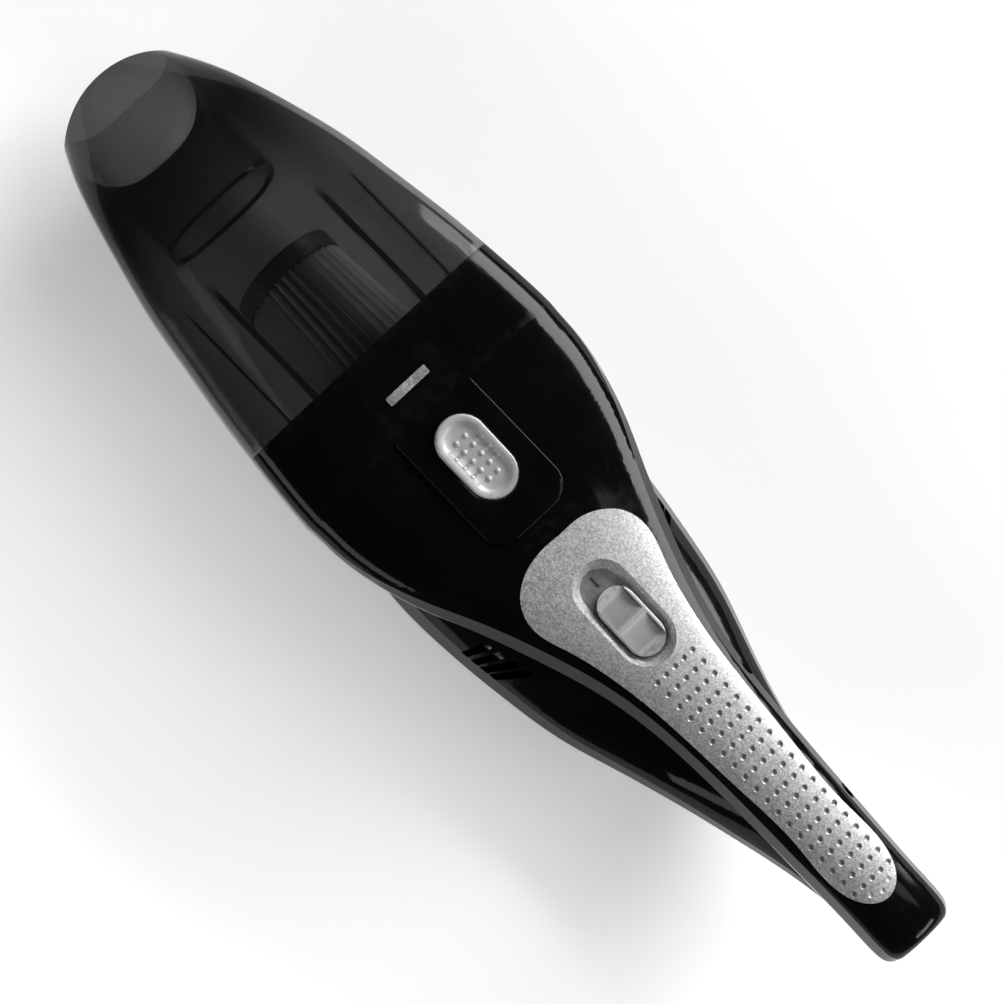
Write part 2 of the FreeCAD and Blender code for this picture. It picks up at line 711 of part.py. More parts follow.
def button_panel(inset_form, raised_form):
    panel = panel_plan(0, seam_top - 20, grip_top + 5).cut(inset_form).common(raised_form)
    hole = stadium(x_button, button_length + 2 * fit_gap, button_width + 2 * fit_gap, seam_top - 20,
                   grip_top + 9)
    return panel.cut(hole)


def release_button():
    top = grip_crown(x_button) + panel_raise + button_raise
    under = latch_top + latch_block
    cap = stadium(x_button, button_length, button_width, under + 1, top)
    rim = [e for e in cap.Edges if abs(e.CenterOfMass.z - top) < 0.01]
    cap = cap.makeFillet(0.8, rim)
    rest = stadium(x_button, button_length + 2 * button_skirt, button_width + 2 * button_skirt, under,
                   under + 2.0)
    dish = stadium_taper(x_button, button_length - 2 * dish_rim, button_width - 2 * dish_rim, top, 1.8,
                         top - dish_depth)
    button = cap.fuse(rest).cut(dish)
    dots = []
    for row, count in ((-1.5, 3), (-0.5, 5), (0.5, 5), (1.5, 3)):
        for i in range(count):
            centre = V(x_button + (i - (count - 1) / 2) * dot_pitch, row * dot_pitch,
                       top - dish_depth - 0.6)
            dots.append(Part.makeSphere(dot_radius, centre))
    return button.fuse(dots)


def latch_hook():
    """The lever under the button; its nose lies ahead of the collar's catch, one clearance below it."""
    x_catch = x_seam + spigot_length + seal_thick + 0.1 + collar_ledge + catch_thick
    half = latch_width / 2
    arm = box(x_seam - panel_length + 9.0, x_catch + fit_gap + 2.6, -half, half, latch_low, latch_top)
    nose = box(x_catch + fit_gap, x_catch + fit_gap + 2.6, -half, half, latch_low, latch_top + 2.2)
    block = stadium(x_button, button_length - 8, latch_width, latch_top - 0.5, latch_top + latch_block)
    return arm.fuse([nose, block])


def latch_spring():
    """Coil between the shelf and the lever."""
    height = latch_low - shelf_top - spring_wire
    radius = spring_radius - spring_wire / 2
    steps = int(16 * spring_turns)
    points = []
    for i in range(steps + 1):
        a = 2 * math.pi * spring_turns * i / steps
        points.append(V(radius * math.cos(a), radius * math.sin(a), height * i / steps))
    curve = Part.BSplineCurve()
    curve.interpolate(points)
    ring = Part.Wire([Part.Circle(points[0], curve.tangent(0)[0], spring_wire / 2).toShape()])
    sweep = Part.BRepOffsetAPI.MakePipeShell(Part.Wire([curve.toShape()]))
    sweep.setFrenetMode(True)
    sweep.add(ring)
    sweep.build()
    sweep.makeSolid()
    coil = sweep.shape()
    coil.translate(V(x_spring(), 0, shelf_top + spring_wire / 2))
    return coil


def x_spring():
    return x_motor - 8.0


# ---------------------------------------------------------------- inlay and switch
def inlay_plan(gap, z0, z1):
    """The silver inlay's plan: broad and round in front, following the handle to a round tail."""
    x0 = x_seam - inlay_start + gap
    x1 = x_seam - inlay_end - gap
    side = []
    for share in (0.316, 0.37, 0.43, 0.5, 0.58, 0.68, 0.78, 0.88):
        side.append((back(share), grip_half(back(share)) - inlay_margin(share) + gap))
    broad = side[0][1]
    tail = side[-1][1]
    front = [(x0 - 0.25, broad * 0.36), (x0 - 3.2, broad * 0.68), (x0 - 9.4, broad * 0.92)]
    end = [(x1 + 5.2, tail * 0.8), (x1 + 1.5, tail * 0.45)]
    half = front + side + end
    points = [V(x0, 0, z0)] + [V(x, y, z0) for x, y in half] + [V(x1, 0, z0)]
    points += [V(x, -y, z0) for x, y in reversed(half)]
    return Part.Face(closed_spline(points)).extrude(V(0, 0, z1 - z0))


def dimples():
    """Shallow round dips in rows down the handle, with a short last row at each side of the round tail."""
    places = []
    for column in range(dimple_columns):
        for row in range(-2, 3):
            places.append((x_seam - dimple_start - column * dimple_pitch_x, row * dimple_pitch_y))
    last = x_seam - dimple_start - (dimple_columns - 1) * dimple_pitch_x
    places += [(last - 4.1, -dimple_pitch_y), (last - 4.1, dimple_pitch_y), (last - 5.7, 0.0)]
    balls = []
    for x, y in places:
        half = grip_half(x)
        share = (x_seam - x) / body_length
        rise = grip_crown(x) - (grip_top - grip_wide_drop(share))
        z = grip_crown(x) - rise * (1 - (1 - (abs(y) / half) ** crown_power) ** (1 / crown_power))
        balls.append(Part.makeSphere(dimple_radius, V(x, y, z + trim_raise + dimple_radius - dimple_depth)))
    return Part.makeCompound(balls)


def grip_inlay(inset_form, proud_form):
    inlay = inlay_plan(0, grip_top - grip_depth / 2, grip_top + 5).cut(inset_form).common(proud_form)
    well = stadium(x_switch, switch_length + 1.0, switch_width + 1.0, plate_top, switch_top - 0.5)
    opening = stadium_taper(x_switch, switch_length, switch_width, grip_top + 1.0, bevel_side,
                            plate_top - 0.01)
    return inlay.fuse(well).cut(opening).cut(dimples())


def switch_plate():
    floor = stadium(x_switch, switch_length - 3.0, switch_width - 3.0, plate_top - plate_thick, plate_top)
    return floor.cut(post_slot(plate_top - 9, plate_top + 9))


def x_slider():
    """Middle of the slider at rest, against the rear of its floor."""
    floor = switch_length - 2 * bevel_side
    return x_switch - (floor - slider_length) / 2 + 0.2


def post_slot(z0, z1):
    length = post_size + slider_travel + 2 * fit_gap
    half = post_size / 2 + fit_gap
    x0 = x_slider() - half
    return box(x0, x0 + length, -half, half, z0, z1)


def switch_slider():
    low = plate_top + 0.1
    x = x_slider()
    slider = stadium(x, slider_length, slider_width, low, low + slider_height)
    rim = [e for e in slider.Edges if abs(e.CenterOfMass.z - low - slider_height) < 0.01]
    slider = slider.makeFillet(0.7, rim)
    scoop_radius = 14.0
    scoop_depth = 1.7
    scoops = []
    for side in (-1, 1):
        place = x + side * (ridge_width / 2 + slider_length / 4 - 1.4)
        scoops.append(rod_y(place, low + slider_height + scoop_radius - scoop_depth, scoop_radius,
                            -slider_width / 2 + 1.2, slider_width / 2 - 1.2))
    post = box(x - post_size / 2, x + post_size / 2, -post_size / 2, post_size / 2, low - post_length,
               low + 1)
    return slider.cut(scoops).fuse(post)


def switch_body():
    length, width, height = switch_box
    top = plate_top - plate_thick - close_gap
    body = box(x_switch - length / 2, x_switch + length / 2, -width / 2, width / 2, top - height, top)
    return body.cut(post_slot(top - post_length - 0.6, top + 5))


# ---------------------------------------------------------------- works
def bulkhead():
    plate = seam_slab(-wall - bulkhead_gap, x_bulkhead - bulkhead_thick, x_bulkhead)
    window = box(x_bulkhead - 9, x_bulkhead + 9, -latch_width / 2 - 1, latch_width / 2 + 1,
                 latch_low - button_travel - 1.2, latch_top + 2)
    half = button_width / 2 + button_skirt + 1.0
    notch = box(x_bulkhead - 9, x_bulkhead + 9, -half, half,
                latch_top + latch_block - button_travel - 1.0, far)
    return plate.cut([rod_x(-far, far, filter_bore), window, notch])


def fan_shroud():
    x0 = x_motor
    x1 = x_shroud
    cup = rod_x(x0, x1, shroud_radius).cut(rod_x(x0 + shroud_wall, x1 - shroud_wall,
                                                 shroud_radius - shroud_wall))
    cuts = [rod_x(x1 - 5, x1 + 5, inlet_radius), rod_x(x0 - 5, x0 + 5, 7.0)]
    for i in range(10):
        slot = box(x0 + 4, x1 - 8, -5.0, 5.0, shroud_radius - 6, shroud_radius + 6)
        slot.translate(V(0, 0, works_z))
        slot.rotate(V(0, 0, works_z), V(1, 0, 0), 36 * i + 18)
        cuts.append(slot)
    return cup.cut(cuts)


def impeller():
    x0 = x_motor + shroud_wall + 1.4
    disc = rod_x(x0, x0 + 1.5, impeller_radius)
    hub = rod_x(x0, x0 + 10.0, 5.0)
    blades = []
    for i in range(blade_count):
        outer = Part.makeCylinder(16.0, blade_height, V(x0 + 1.0, 0, works_z + 16.5), V(1, 0, 0))
        inner = Part.makeCylinder(16.0 - blade_thick, blade_height, V(x0 + 1.0, 0, works_z + 16.5), V(1,
                                                                                                      0, 0))
        quarter = box(x0, x0 + 30, 0, 40, works_z - 2, works_z + 40)
        blade = outer.cut(inner).common(quarter)
        blade.rotate(V(0, 0, works_z), V(1, 0, 0), 360 * i / blade_count)
        blades.append(blade)
    rim = rod_x(x0, x0 + 30, impeller_radius)
    core = rod_x(x0, x0 + 30, 4.5)
    wheel = disc.fuse([hub] + [b.common(rim).cut(core) for b in blades])
    return wheel.cut(rod_x(x0 - 1, x0 + 40, shaft_radius + close_gap))


def motor_shaft():
    return rod_x(x_end_cap - 1.5, x_motor + shroud_wall + 12.5, shaft_radius)


def motor_can():
    can = rod_x(x_end_cap, x_motor, motor_radius)
    rims = [e for e in can.Edges if e.Length < 2.01 * math.pi * motor_radius and e.BoundBox.XLength < 0.01]
    can = can.makeFillet(1.5, rims).fuse(rod_x(x_motor - 1, x_motor + 3.0, 6.5))
    can = can.cut(rod_x(x_end_cap - 5, x_motor + 9, shaft_radius + bearing_gap))
    window = box(x_motor - 12, x_motor - 5, -far, far, works_z - 4, works_z + 4)
    core = rod_x(x_motor - 14, x_motor - 3, motor_radius - 5)
    return can.cut(window.cut(core))


def motor_end_cap():
    x0 = x_end_cap - end_cap_length
    cap = rod_x(x0, x_end_cap, motor_radius - 1.0).cut(rod_x(x_end_cap - 2.0, far, shaft_radius + 0.4))
    tabs = [box(x0 - 1, x0 + 2, y - 2.2, y + 2.2, works_z + 9.2, works_z + 10.8) for y in (-6.0, 6.0)]
    return cap.cut(tabs)


def motor_terminals():
    x0 = x_end_cap - end_cap_length
    return [box(x0 - 2.5, x0 + 2, y - 2.2, y + 2.2, works_z + 9.2, works_z + 10.8) for y in (-6.0, 6.0)]


def motor_mount():
    x0 = x_end_cap + 8.0
    ring = rod_x(x0, x0 + mount_length, motor_radius + mount_thick)
    groove = rod_x(x0 + (mount_length - cradle_thick) / 2, x0 + (mount_length + cradle_thick) / 2, far)
    groove = groove.cut(rod_x(x0, x0 + mount_length, motor_radius + mount_thick - 1.2))
    return ring.cut([groove, rod_x(x0 - 1, x0 + 20, motor_radius + close_gap)])


def motor_cradle():
    """The rib in each shell that the rubber ring sits in."""
    x0 = x_end_cap + 8.0 + (mount_length - cradle_thick) / 2 + 0.1
    x1 = x0 + cradle_thick - 0.2
    slab = box(x0, x1, -far, far, -far, works_z + 8.0)
    return slab.cut(rod_x(x0 - 1, x1 + 1, motor_radius + mount_thick - 1.2 + close_gap))


def cell_places():
    """Two cells side by side on the belly's floor, one above between them."""
    half = cell_radius + cell_gap / 2
    low = belly_low(bay_share) - foot_sink + wall + cell_to_floor + cell_radius
    return [(-half, low), (half, low), (0.0, low + half * math.sqrt(3))]


def battery_cells():
    cells = []
    for y, z in cell_places():
        cell = rod_x(x_battery_end, x_battery - 1.2, cell_radius, y, z)
        cells.append(cell.fuse(rod_x(x_battery - 2, x_battery, 3.2, y, z)))
    return cells


def battery_holder():
    """Two end frames tied by three rods that lie in the hollows between the cells."""
    places = cell_places()
    middle = sum(z for _, z in places) / 3
    r = cell_radius
    frames = []
    for x0 in (x_battery_end + 6, x_battery - 8 - holder_plate):
        blocks = [rod_x(x0, x0 + holder_plate, r + 1.5, y, z) for y, z in places]
        hub = rod_x(x0, x0 + holder_plate, r, 0.0, middle)
        frames.append(blocks[0].fuse(blocks[1:] + [hub]))
    tie = rod_x(x_battery_end + 6, x_battery - 8, 1.1, 0.0, middle)
    holes = [rod_x(x_battery_end - 1, x_battery + 1, r + close_gap, y, z) for y, z in places]
    return frames[0].fuse([frames[1], tie]).cut(holes)


def battery_straps():
    """Nickel strips welded to the cells' ends."""
    places = cell_places()
    straps = []
    for x0, a, b in ((x_battery, 0, 1), (x_battery_end - 0.3, 1, 2)):
        ya, za = places[a]
        yb, zb = places[b]
        length = math.hypot(yb - ya, zb - za)
        strip = box(x0, x0 + 0.3, -2.5, length + 2.5, -2.5, 2.5)
        strip.rotate(V(0, 0, 0), V(1, 0, 0), math.degrees(math.atan2(zb - za, yb - ya)))
        strip.translate(V(0, ya, za))
        straps.append(strip)
    return straps


# ---------------------------------------------------------------- charging, wiring and screws
def socket_z():
    return grip_top - grip_depth - grip_low_drop(1.0) + 13.0


def board_front():
    return x_tail + socket_length + board_length + 1.0


def charge_socket():
    x0 = x_tail + 0.4
    body = rod_x(x0, x0 + socket_length, socket_radius, 0, socket_z())
    x_rim = x_tail + wall + 0.1
    rim = rod_x(x_rim, x_rim + 1.6, socket_radius + 1.6, 0, socket_z())
    return body.fuse(rim).cut(rod_x(x0 - 1, x0 + socket_depth, socket_bore, 0, socket_z()))


def charge_pin():
    x0 = x_tail + 0.4
    return rod_x(x0 + 1.0, x0 + socket_depth, pin_radius, 0, socket_z())


def charge_board():
    x1 = board_front()
    z = socket_z() - board_drop
    board = box(x1 - board_length, x1, -board_width / 2, board_width / 2, z - board_thick, z)
    chip = box(x1 - 9, x1 - 5, -2.5, 2.5, z - 0.1, z + 1.5)
    coil = Part.makeCylinder(3.0, 3.5, V(x1 - 14.0, 3.5, z - 0.1))
    return board.fuse([chip, coil])


def lead_pair(route):
    return [[V(p[0], side * p[1], p[2]) for p in route] for side in (-1, 1)]


def lead_routes():
    """Points of the three pairs of leads, each given for one side as X, half spacing and Z."""
    half = lead_spacing / 2
    x_tabs = x_end_cap - end_cap_length - 2.5
    x_front = x_switch + switch_box[0] / 2
    x_back = x_switch - switch_box[0] / 2
    z_box = plate_top - plate_thick - switch_box[2] / 2
    x_board = board_front()
    z_board = socket_z() - board_drop - board_thick / 2
    z_grip = grip_top - grip_depth + 6.2
    cells = cell_places()
    motor = [(x_tabs, 6.0, works_z + 10), (x_tabs - 4.0, 6.0, works_z + 13), (x_tabs - 4.0, 5.0,
                                                                              works_z + 28),
             (x_front + 4.0, half, z_box - 6.0), (x_front, half, z_box)]
    switch = [(x_back, half, z_box), (x_back - 12, half, z_grip), (x_back - 38, half, z_grip - 0.6),
              ((x_back + x_board) / 2 - 10, half, z_grip - 1.5), (x_board + 14, half, z_board + 1.5),
              (x_board, half, z_board)]
    battery = [(x_battery_end - 0.3, half, cells[2][1] - 4.0), (x_battery_end - 12, half, cells[2][1]),
               (belly_x(0.70), half, belly_wide + 11.0), (belly_x(0.78), half, belly_wide + 26.0),
               (belly_x(0.83), half, belly_wide + 39.0), (x_board, half + 3.0, z_board)]
    return {"motor_leads": lead_pair(motor), "switch_leads": lead_pair(switch),
            "battery_leads": lead_pair(battery)}


def leads(name, radius):
    return [bent_tube(route, radius) for route in lead_routes()[name]]


def screw_places():
    """Where the five screws cross the parting plane, as X and Z."""
    return [(x_motor - 19.5, belly_wide - 10.0), (x_motor - 33.5, grip_top - 21.6),
            (back(0.555), grip_top - 10.2), (back(0.777), grip_top - 12.0), (x_battery_end - 11.0,
                                                                             belly_wide - 7.5)]


def bosses():
    return [rod_y(x, z, boss_radius, -far / 8, far / 8) for x, z in screw_places()]


def screw_holes():
    """In the right shell a well for the head and a clearance hole; in the left one the screw's pilot."""
    cuts = []
    for x, z in screw_places():
        cuts.append(rod_y(x, z, head_radius + fit_gap, -far, -head_depth))
        cuts.append(rod_y(x, z, screw_radius + fit_gap, -head_depth - 1, 0))
        cuts.append(rod_y(x, z, screw_radius + close_gap, -1, head_depth - 2))
    return cuts


def housing_screws():
    screws = []
    for x, z in screw_places():
        shank = rod_y(x, z, screw_radius, -head_depth, head_depth - 3)
        head = rod_y(x, z, head_radius, -head_depth - head_height, -head_depth)
        across = box(x - 2, x + 2, -head_depth - head_height - 1, -head_depth - head_height + 1, z - 0.4,
                     z + 0.4)
        upright = box(x - 0.4, x + 0.4, -head_depth - head_height - 1, -head_depth - head_height + 1,
                      z - 2, z + 2)
        screws.append(shank.fuse(head).cut([across, upright]))
    return screws


# ---------------------------------------------------------------- shells
def vents(side):
    """Curved exhaust slots through the belly's shoulder."""
    cuts = []
    for i in range(vent_count):
        slot = stadium(0, vent_length, vent_width, belly_crest - 12, belly_crest + 22)
        slot.rotate(V(0, 0, 0), V(0, 0, 1), side * 90)
        slot.rotate(V(0, 0, 0), V(0, 0, 1), side * (-24 - 5 * i))
        slot.translate(V(x_seam - vent_from_seam - i * vent_pitch, side * (vent_from_middle - 1.4 * i), 0))
        cuts.append(slot)
    return cuts


def housing(outer, inset_form):
    """The whole body shell with ribs, bosses and pockets, before it is split along the middle."""
    ring = seam_slab(-wall / 2, x_seam - spigot_base, x_seam)
    root = seam_slab(-wall - fit_gap, x_seam - spigot_base, x_seam).fuse(ring)
    root = root.cut(seam_slab(-wall - fit_gap - spigot_wall + root_step, x_seam - 30, x_seam + 30))
    spigot = bowl_ring(-wall - fit_gap, spigot_wall, x_seam, x_seam + spigot_length)
    shelf = box(x_spring() - 6, x_spring() + 6, -far, far, shelf_top - shelf_thick, shelf_top)
    inside = Part.makeCompound(bosses() + [shelf, motor_cradle()]).common(outer)
    shell = outer.cut(body_form(-wall, x_seam + 2)).fuse([inside, root, spigot])
    panel = panel_plan(fit_gap / 3, seam_top - 20, grip_top + 5).cut(inset_form)
    inlay = inlay_plan(fit_gap / 3, grip_top - grip_depth / 2, grip_top + 5).cut(inset_form)
    cuts = [panel, inlay]
    cuts.append(stadium(x_button, button_length + 4, button_width + 4, latch_top, grip_top + 5))
    cuts.append(stadium(x_switch, switch_length + 1.4, switch_width + 1.4, plate_top - plate_thick - 0.4,
                        grip_top + 5))
    cuts.append(rod_x(x_tail - 5, x_tail + 5, socket_radius + close_gap, 0, socket_z()))
    cuts += vents(1) + vents(-1)
    for name in lead_routes():
        cuts += leads(name, lead_radius + fit_gap)
    return shell.cut(cuts)


def bowl_seal():
    x0 = x_seam + spigot_length
    return bowl_ring(-wall - fit_gap, spigot_wall, x0, x0 + seal_thick)


def write(name, shape):
    """Write one node's STEP file. A list is a group of separate solids."""
    if isinstance(shape, list):
        shape = Part.makeCompound(shape)
    solids = shape.Solids
    whole = solids[0] if len(solids) == 1 else Part.makeCompound(solids)
    print(name, "solids", len(solids), "valid", whole.isValid(), "volume", round(whole.Volume))
    whole.exportStep("parts/" + name + ".step")


def main():
    os.makedirs("parts", exist_ok=True)
    outer = body_form(0, x_seam)
    inset_form = grip_form(-inset_depth, x_seam + 2)
    proud_form = grip_form(trim_raise)
    raised_form = grip_form(panel_raise, x_seam, x_seam - panel_length - 10)
    shell = housing(outer, inset_form)

    halves = shell.cut(screw_holes())
    write("housing_left", halves.common(box(-far, far, 0, far, -far, far)))
    write("housing_right", halves.common(box(-far, far, -far, 0, -far, far)))
    write("button_panel", button_panel(inset_form, raised_form))
    write("grip_inlay", grip_inlay(inset_form, proud_form))
    write("dust_bowl", dust_bowl())
    write("intake_duct", intake_duct())
    write("bowl_collar", bowl_collar())
    write("collar_bar", collar_bar())
    write("bowl_seal", bowl_seal())
    write("filter_frame", filter_frame())
    write("filter_pleats", filter_pleats())
    write("filter_cap", filter_cap())
    write("filter_seal", filter_seal())
    write("release_button", release_button())
    write("latch_hook", latch_hook())
    write("latch_spring", latch_spring())
    write("switch_plate", switch_plate())
    write("switch_slider", switch_slider())
    write("switch_body", switch_body())
    write("bulkhead", bulkhead())
    write("fan_shroud", fan_shroud())
    write("impeller", impeller())
    write("motor_shaft", motor_shaft())
    write("motor_can", motor_can())
    write("motor_end_cap", motor_end_cap())
    write("motor_terminals", motor_terminals())
    write("motor_mount", motor_mount())
    write("battery_cells", battery_cells())
    write("battery_holder", battery_holder())
    write("battery_straps", battery_straps())
    write("charge_socket", charge_socket())
    write("charge_pin", charge_pin())
    write("charge_board", charge_board())
    write("housing_screws", housing_screws())
    for name in lead_routes():
        write(name, leads(name, lead_radius))


main()
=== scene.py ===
"""Looks of a cordless handheld vacuum: finishes, trim details, studio and camera."""

import json
import logging
import math
from dataclasses import dataclass, field
from enum import Enum

import bmesh
import bpy
from mathutils import Matrix, Vector


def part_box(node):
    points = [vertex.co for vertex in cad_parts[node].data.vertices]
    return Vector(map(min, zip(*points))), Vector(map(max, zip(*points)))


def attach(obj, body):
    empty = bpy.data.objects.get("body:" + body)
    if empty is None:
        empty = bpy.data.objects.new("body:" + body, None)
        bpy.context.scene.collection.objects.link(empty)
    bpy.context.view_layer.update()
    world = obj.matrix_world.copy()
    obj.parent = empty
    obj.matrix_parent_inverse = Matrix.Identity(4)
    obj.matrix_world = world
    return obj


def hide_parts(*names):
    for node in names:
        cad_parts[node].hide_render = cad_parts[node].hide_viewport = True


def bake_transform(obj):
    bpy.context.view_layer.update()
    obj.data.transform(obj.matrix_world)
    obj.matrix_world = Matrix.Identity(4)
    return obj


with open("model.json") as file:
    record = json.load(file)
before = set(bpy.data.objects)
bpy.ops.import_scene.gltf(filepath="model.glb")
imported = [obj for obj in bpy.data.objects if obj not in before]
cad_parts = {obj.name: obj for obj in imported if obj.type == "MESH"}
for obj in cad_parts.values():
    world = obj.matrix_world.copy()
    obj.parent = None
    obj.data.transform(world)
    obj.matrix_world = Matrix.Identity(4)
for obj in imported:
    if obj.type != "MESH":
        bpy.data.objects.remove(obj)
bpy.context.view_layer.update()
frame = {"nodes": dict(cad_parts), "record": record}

logging.basicConfig(level=logging.INFO, format="%(message)s")
log = logging.getLogger("vacuum")

Pair = tuple[float, float]
Triple = tuple[float, float, float]
Colour = tuple[float, float, float, float]

MM = 0.001
WELD = 2e-6  # metres between loose corners that are one corner
FACET_LIMIT = 45.0  # degrees past which an edge inside one CAD face stays sharp
GRAIN_ROUGHNESS = 0.6
COOLNESS = 1.02


# ---------------------------------------------------------------- shader workbench
class Signal:
    """A number carried by a socket; arithmetic on it adds Math nodes."""

    def __init__(self, bench: "Bench", socket: bpy.types.NodeSocket) -> None:
        """Keeps the bench and the socket.

        Args:
            bench: the material's workbench.
            socket: an output socket.
        """
        self.bench = bench
        self.socket = socket

    def math(self, operation: str, *terms: "Signal | float", clamp: bool = False) -> "Signal":
        """Adds one Math node.

        Args:
            operation: the Math node's operation.
            terms: its inputs in order.
            clamp: whether the result is held within 0 and 1.

        Returns:
            The node's value.
        """
        settings = {"operation": operation, "use_clamp": clamp}
        return self.bench.add("ShaderNodeMath", settings, dict(enumerate(terms)))

    def __add__(self, other: "Signal | float") -> "Signal":
        """Sum."""
        return self.math("ADD", self, other)

    def __radd__(self, other: float) -> "Signal":
        """Sum with a number on the left."""
        return self.math("ADD", other, self)

    def __sub__(self, other: "Signal | float") -> "Signal":
        """Difference."""
        return self.math("SUBTRACT", self, other)

    def __rsub__(self, other: float) -> "Signal":
        """Difference from a number."""
        return self.math("SUBTRACT", other, self)

    def __mul__(self, other: "Signal | float") -> "Signal":
        """Product."""
        return self.math("MULTIPLY", self, other)

    def __rmul__(self, other: float) -> "Signal":
        """Product with a number on the left."""
        return self.math("MULTIPLY", other, self)

    def __truediv__(self, other: "Signal | float") -> "Signal":
        """Quotient."""
        return self.math("DIVIDE", self, other)

    def __pow__(self, other: float) -> "Signal":
        """Power."""
        return self.math("POWER", self, other)

    def magnitude(self) -> "Signal":
        """The value without its sign."""
        return self.math("ABSOLUTE", self)

    def fraction(self) -> "Signal":
        """What is left past the last whole number."""
        return self.math("FRACT", self)

    def held(self) -> "Signal":
        """The value held within 0 and 1."""
        return self.math("ADD", self, 0.0, clamp=True)

    def above(self, low: float, high: float) -> "Signal":
        """A mask that rises smoothly from 0 at low to 1 at high.

        Args:
            low: where the mask starts.
            high: where it is full.

        Returns:
            The mask.
        """
        settings = {"interpolation_type": "SMOOTHSTEP", "clamp": True}
        inputs = {"Value": self, "From Min": low, "From Max": high}
        return self.bench.add("ShaderNodeMapRange", settings, inputs)


@dataclass(frozen=True)
class Grain:
    """One layer of fractal noise at real scale, and the range that cuts it into patches."""

    size: float
    detail: float = 3.0
    stretch: Triple = (1.0, 1.0, 1.0)
    patches: "Pair | None" = None


class Bench:
    """Builds one node material around a Principled shader."""

    WEAR = Grain(0.004, patches=(0.38, 0.62))

    def __init__(self, name: str) -> None:
        """Makes an empty material with a shader and an output.

        Args:
            name: the material's name.
        """
        self.material = bpy.data.materials.new(name)
        self.material.use_nodes = True
        self.tree = self.material.node_tree
        self.tree.nodes.clear()
        self.output = self.tree.nodes.new("ShaderNodeOutputMaterial")
        self.shader = self.tree.nodes.new("ShaderNodeBsdfPrincipled")
        self.tree.links.new(self.shader.outputs["BSDF"], self.output.inputs["Surface"])

    def place(self, socket: bpy.types.NodeSocket, value: object) -> None:
        """Sets or links one input.

        Args:
            socket: the input socket.
            value: a Signal or a socket to link, or a constant.
        """
        if isinstance(value, Signal):
            self.tree.links.new(value.socket, socket)
        elif isinstance(value, bpy.types.NodeSocket):
            self.tree.links.new(value, socket)
        else:
            socket.default_value = value

    def add(self, kind: str, settings: dict, inputs: dict, output: "str | int" = 0) -> Signal:
        """Adds one node, its settings first and then its inputs.

        Args:
            kind: the node's type.
            settings: attributes to set.
            inputs: values or links by socket name or number.
            output: the output that is wanted.

        Returns:
            That output.
        """
        node = self.tree.nodes.new(kind)
        for key, value in settings.items():
            setattr(node, key, value)
        for key, value in inputs.items():
            self.place(node.inputs[key], value)
        return Signal(self, node.outputs[output])

    def place_of(self, scale: Triple = (1.0, 1.0, 1.0)) -> Signal:
        """Object coordinates, stretched.

        Args:
            scale: the stretch along each axis.

        Returns:
            The coordinates.
        """
        coords = self.add("ShaderNodeTexCoord", {}, {}, "Object")
        return self.add("ShaderNodeMapping", {}, {"Vector": coords, "Scale": scale})

    def along(self, axis: str) -> Signal:
        """Distance along one axis in metres.

        Args:
            axis: X, Y or Z.

        Returns:
            The distance.
        """
        return self.add("ShaderNodeSeparateXYZ", {}, {"Vector": self.place_of()}, axis)

    def grain(self, layer: Grain) -> Signal:
        """Fractal noise.

        Args:
            layer: its size, detail, stretch and patches.

        Returns:
            A value about 0.5, or a mask where the layer has patches.
        """
        inputs = {"Vector": self.place_of(layer.stretch), "Scale": 1.0 / layer.size,
                  "Detail": layer.detail, "Roughness": GRAIN_ROUGHNESS}
        value = self.add("ShaderNodeTexNoise", {"noise_dimensions": "3D"}, inputs)
        return value.above(*layer.patches) if layer.patches else value

    def flecks(self, size: float) -> Signal:
        """Cells of random colour.

        Args:
            size: width of a cell in metres.

        Returns:
            The cells' colours.
        """
        inputs = {"Vector": self.place_of(), "Scale": 1.0 / size}
        return self.add("ShaderNodeTexVoronoi", {"feature": "F1"}, inputs, "Color")

    def pointiness(self) -> Signal:
        """How far the surface stands out (above 0.5) or in (below it)."""
        return self.add("ShaderNodeNewGeometry", {}, {}, "Pointiness")

    def edges(self, start: float = 0.53, full: float = 0.6) -> Signal:
        """Mask of the outer edges that hands and floors rub.

        Args:
            start: pointiness where the mask starts.
            full: pointiness where it is full.

        Returns:
            The mask, broken up by noise.
        """
        return self.pointiness().above(start, full) * self.grain(self.WEAR)

    def tint(self, factor: Signal, first: "Signal | Colour", second: "Signal | Colour") -> Signal:
        """Mixes two colours.

        Args:
            factor: share of the second colour.
            first: colour at 0.
            second: colour at 1.

        Returns:
            The mixed colour.
        """
        settings = {"data_type": "RGBA", "clamp_factor": True}
        return self.add("ShaderNodeMix", settings, {0: factor, 6: first, 7: second}, 2)

    def bump(self, height: Signal, depth: float, below: "Signal | None" = None) -> Signal:
        """Turns a height into a normal.

        Args:
            height: height between 0 and 1.
            depth: real depth in metres of a height of 1.
            below: a normal to build on.

        Returns:
            The normal.
        """
        inputs = {"Height": height, "Strength": 1.0, "Distance": depth}
        if below is not None:
            inputs["Normal"] = below
        return self.add("ShaderNodeBump", {}, inputs)

    def finish(self, **values: object) -> bpy.types.Material:
        """Sets the shader's inputs.

        Args:
            values: values or links by socket name, with spaces as underscores.

        Returns:
            The finished material.
        """
        for key, value in values.items():
            self.place(self.shader.inputs[key.replace("_", " ")], value)
        return self.material


def grey(value: float) -> Colour:
    """A neutral colour, a touch cool.

    Args:
        value: linear brightness.

    Returns:
        The colour.
    """
    return (value, value, value * COOLNESS, 1.0)


def shade(colour: Triple, gain: float = 1.0, lift: float = 0.0) -> Colour:
    """A lighter or darker version of a colour.

    Args:
        colour: the colour.
        gain: what it is multiplied by.
        lift: what is added.

    Returns:
        The colour, held at 1 or below.
    """
    red, green, blue = (min(1.0, gain * channel + lift) for channel in colour)
    return (red, green, blue, 1.0)


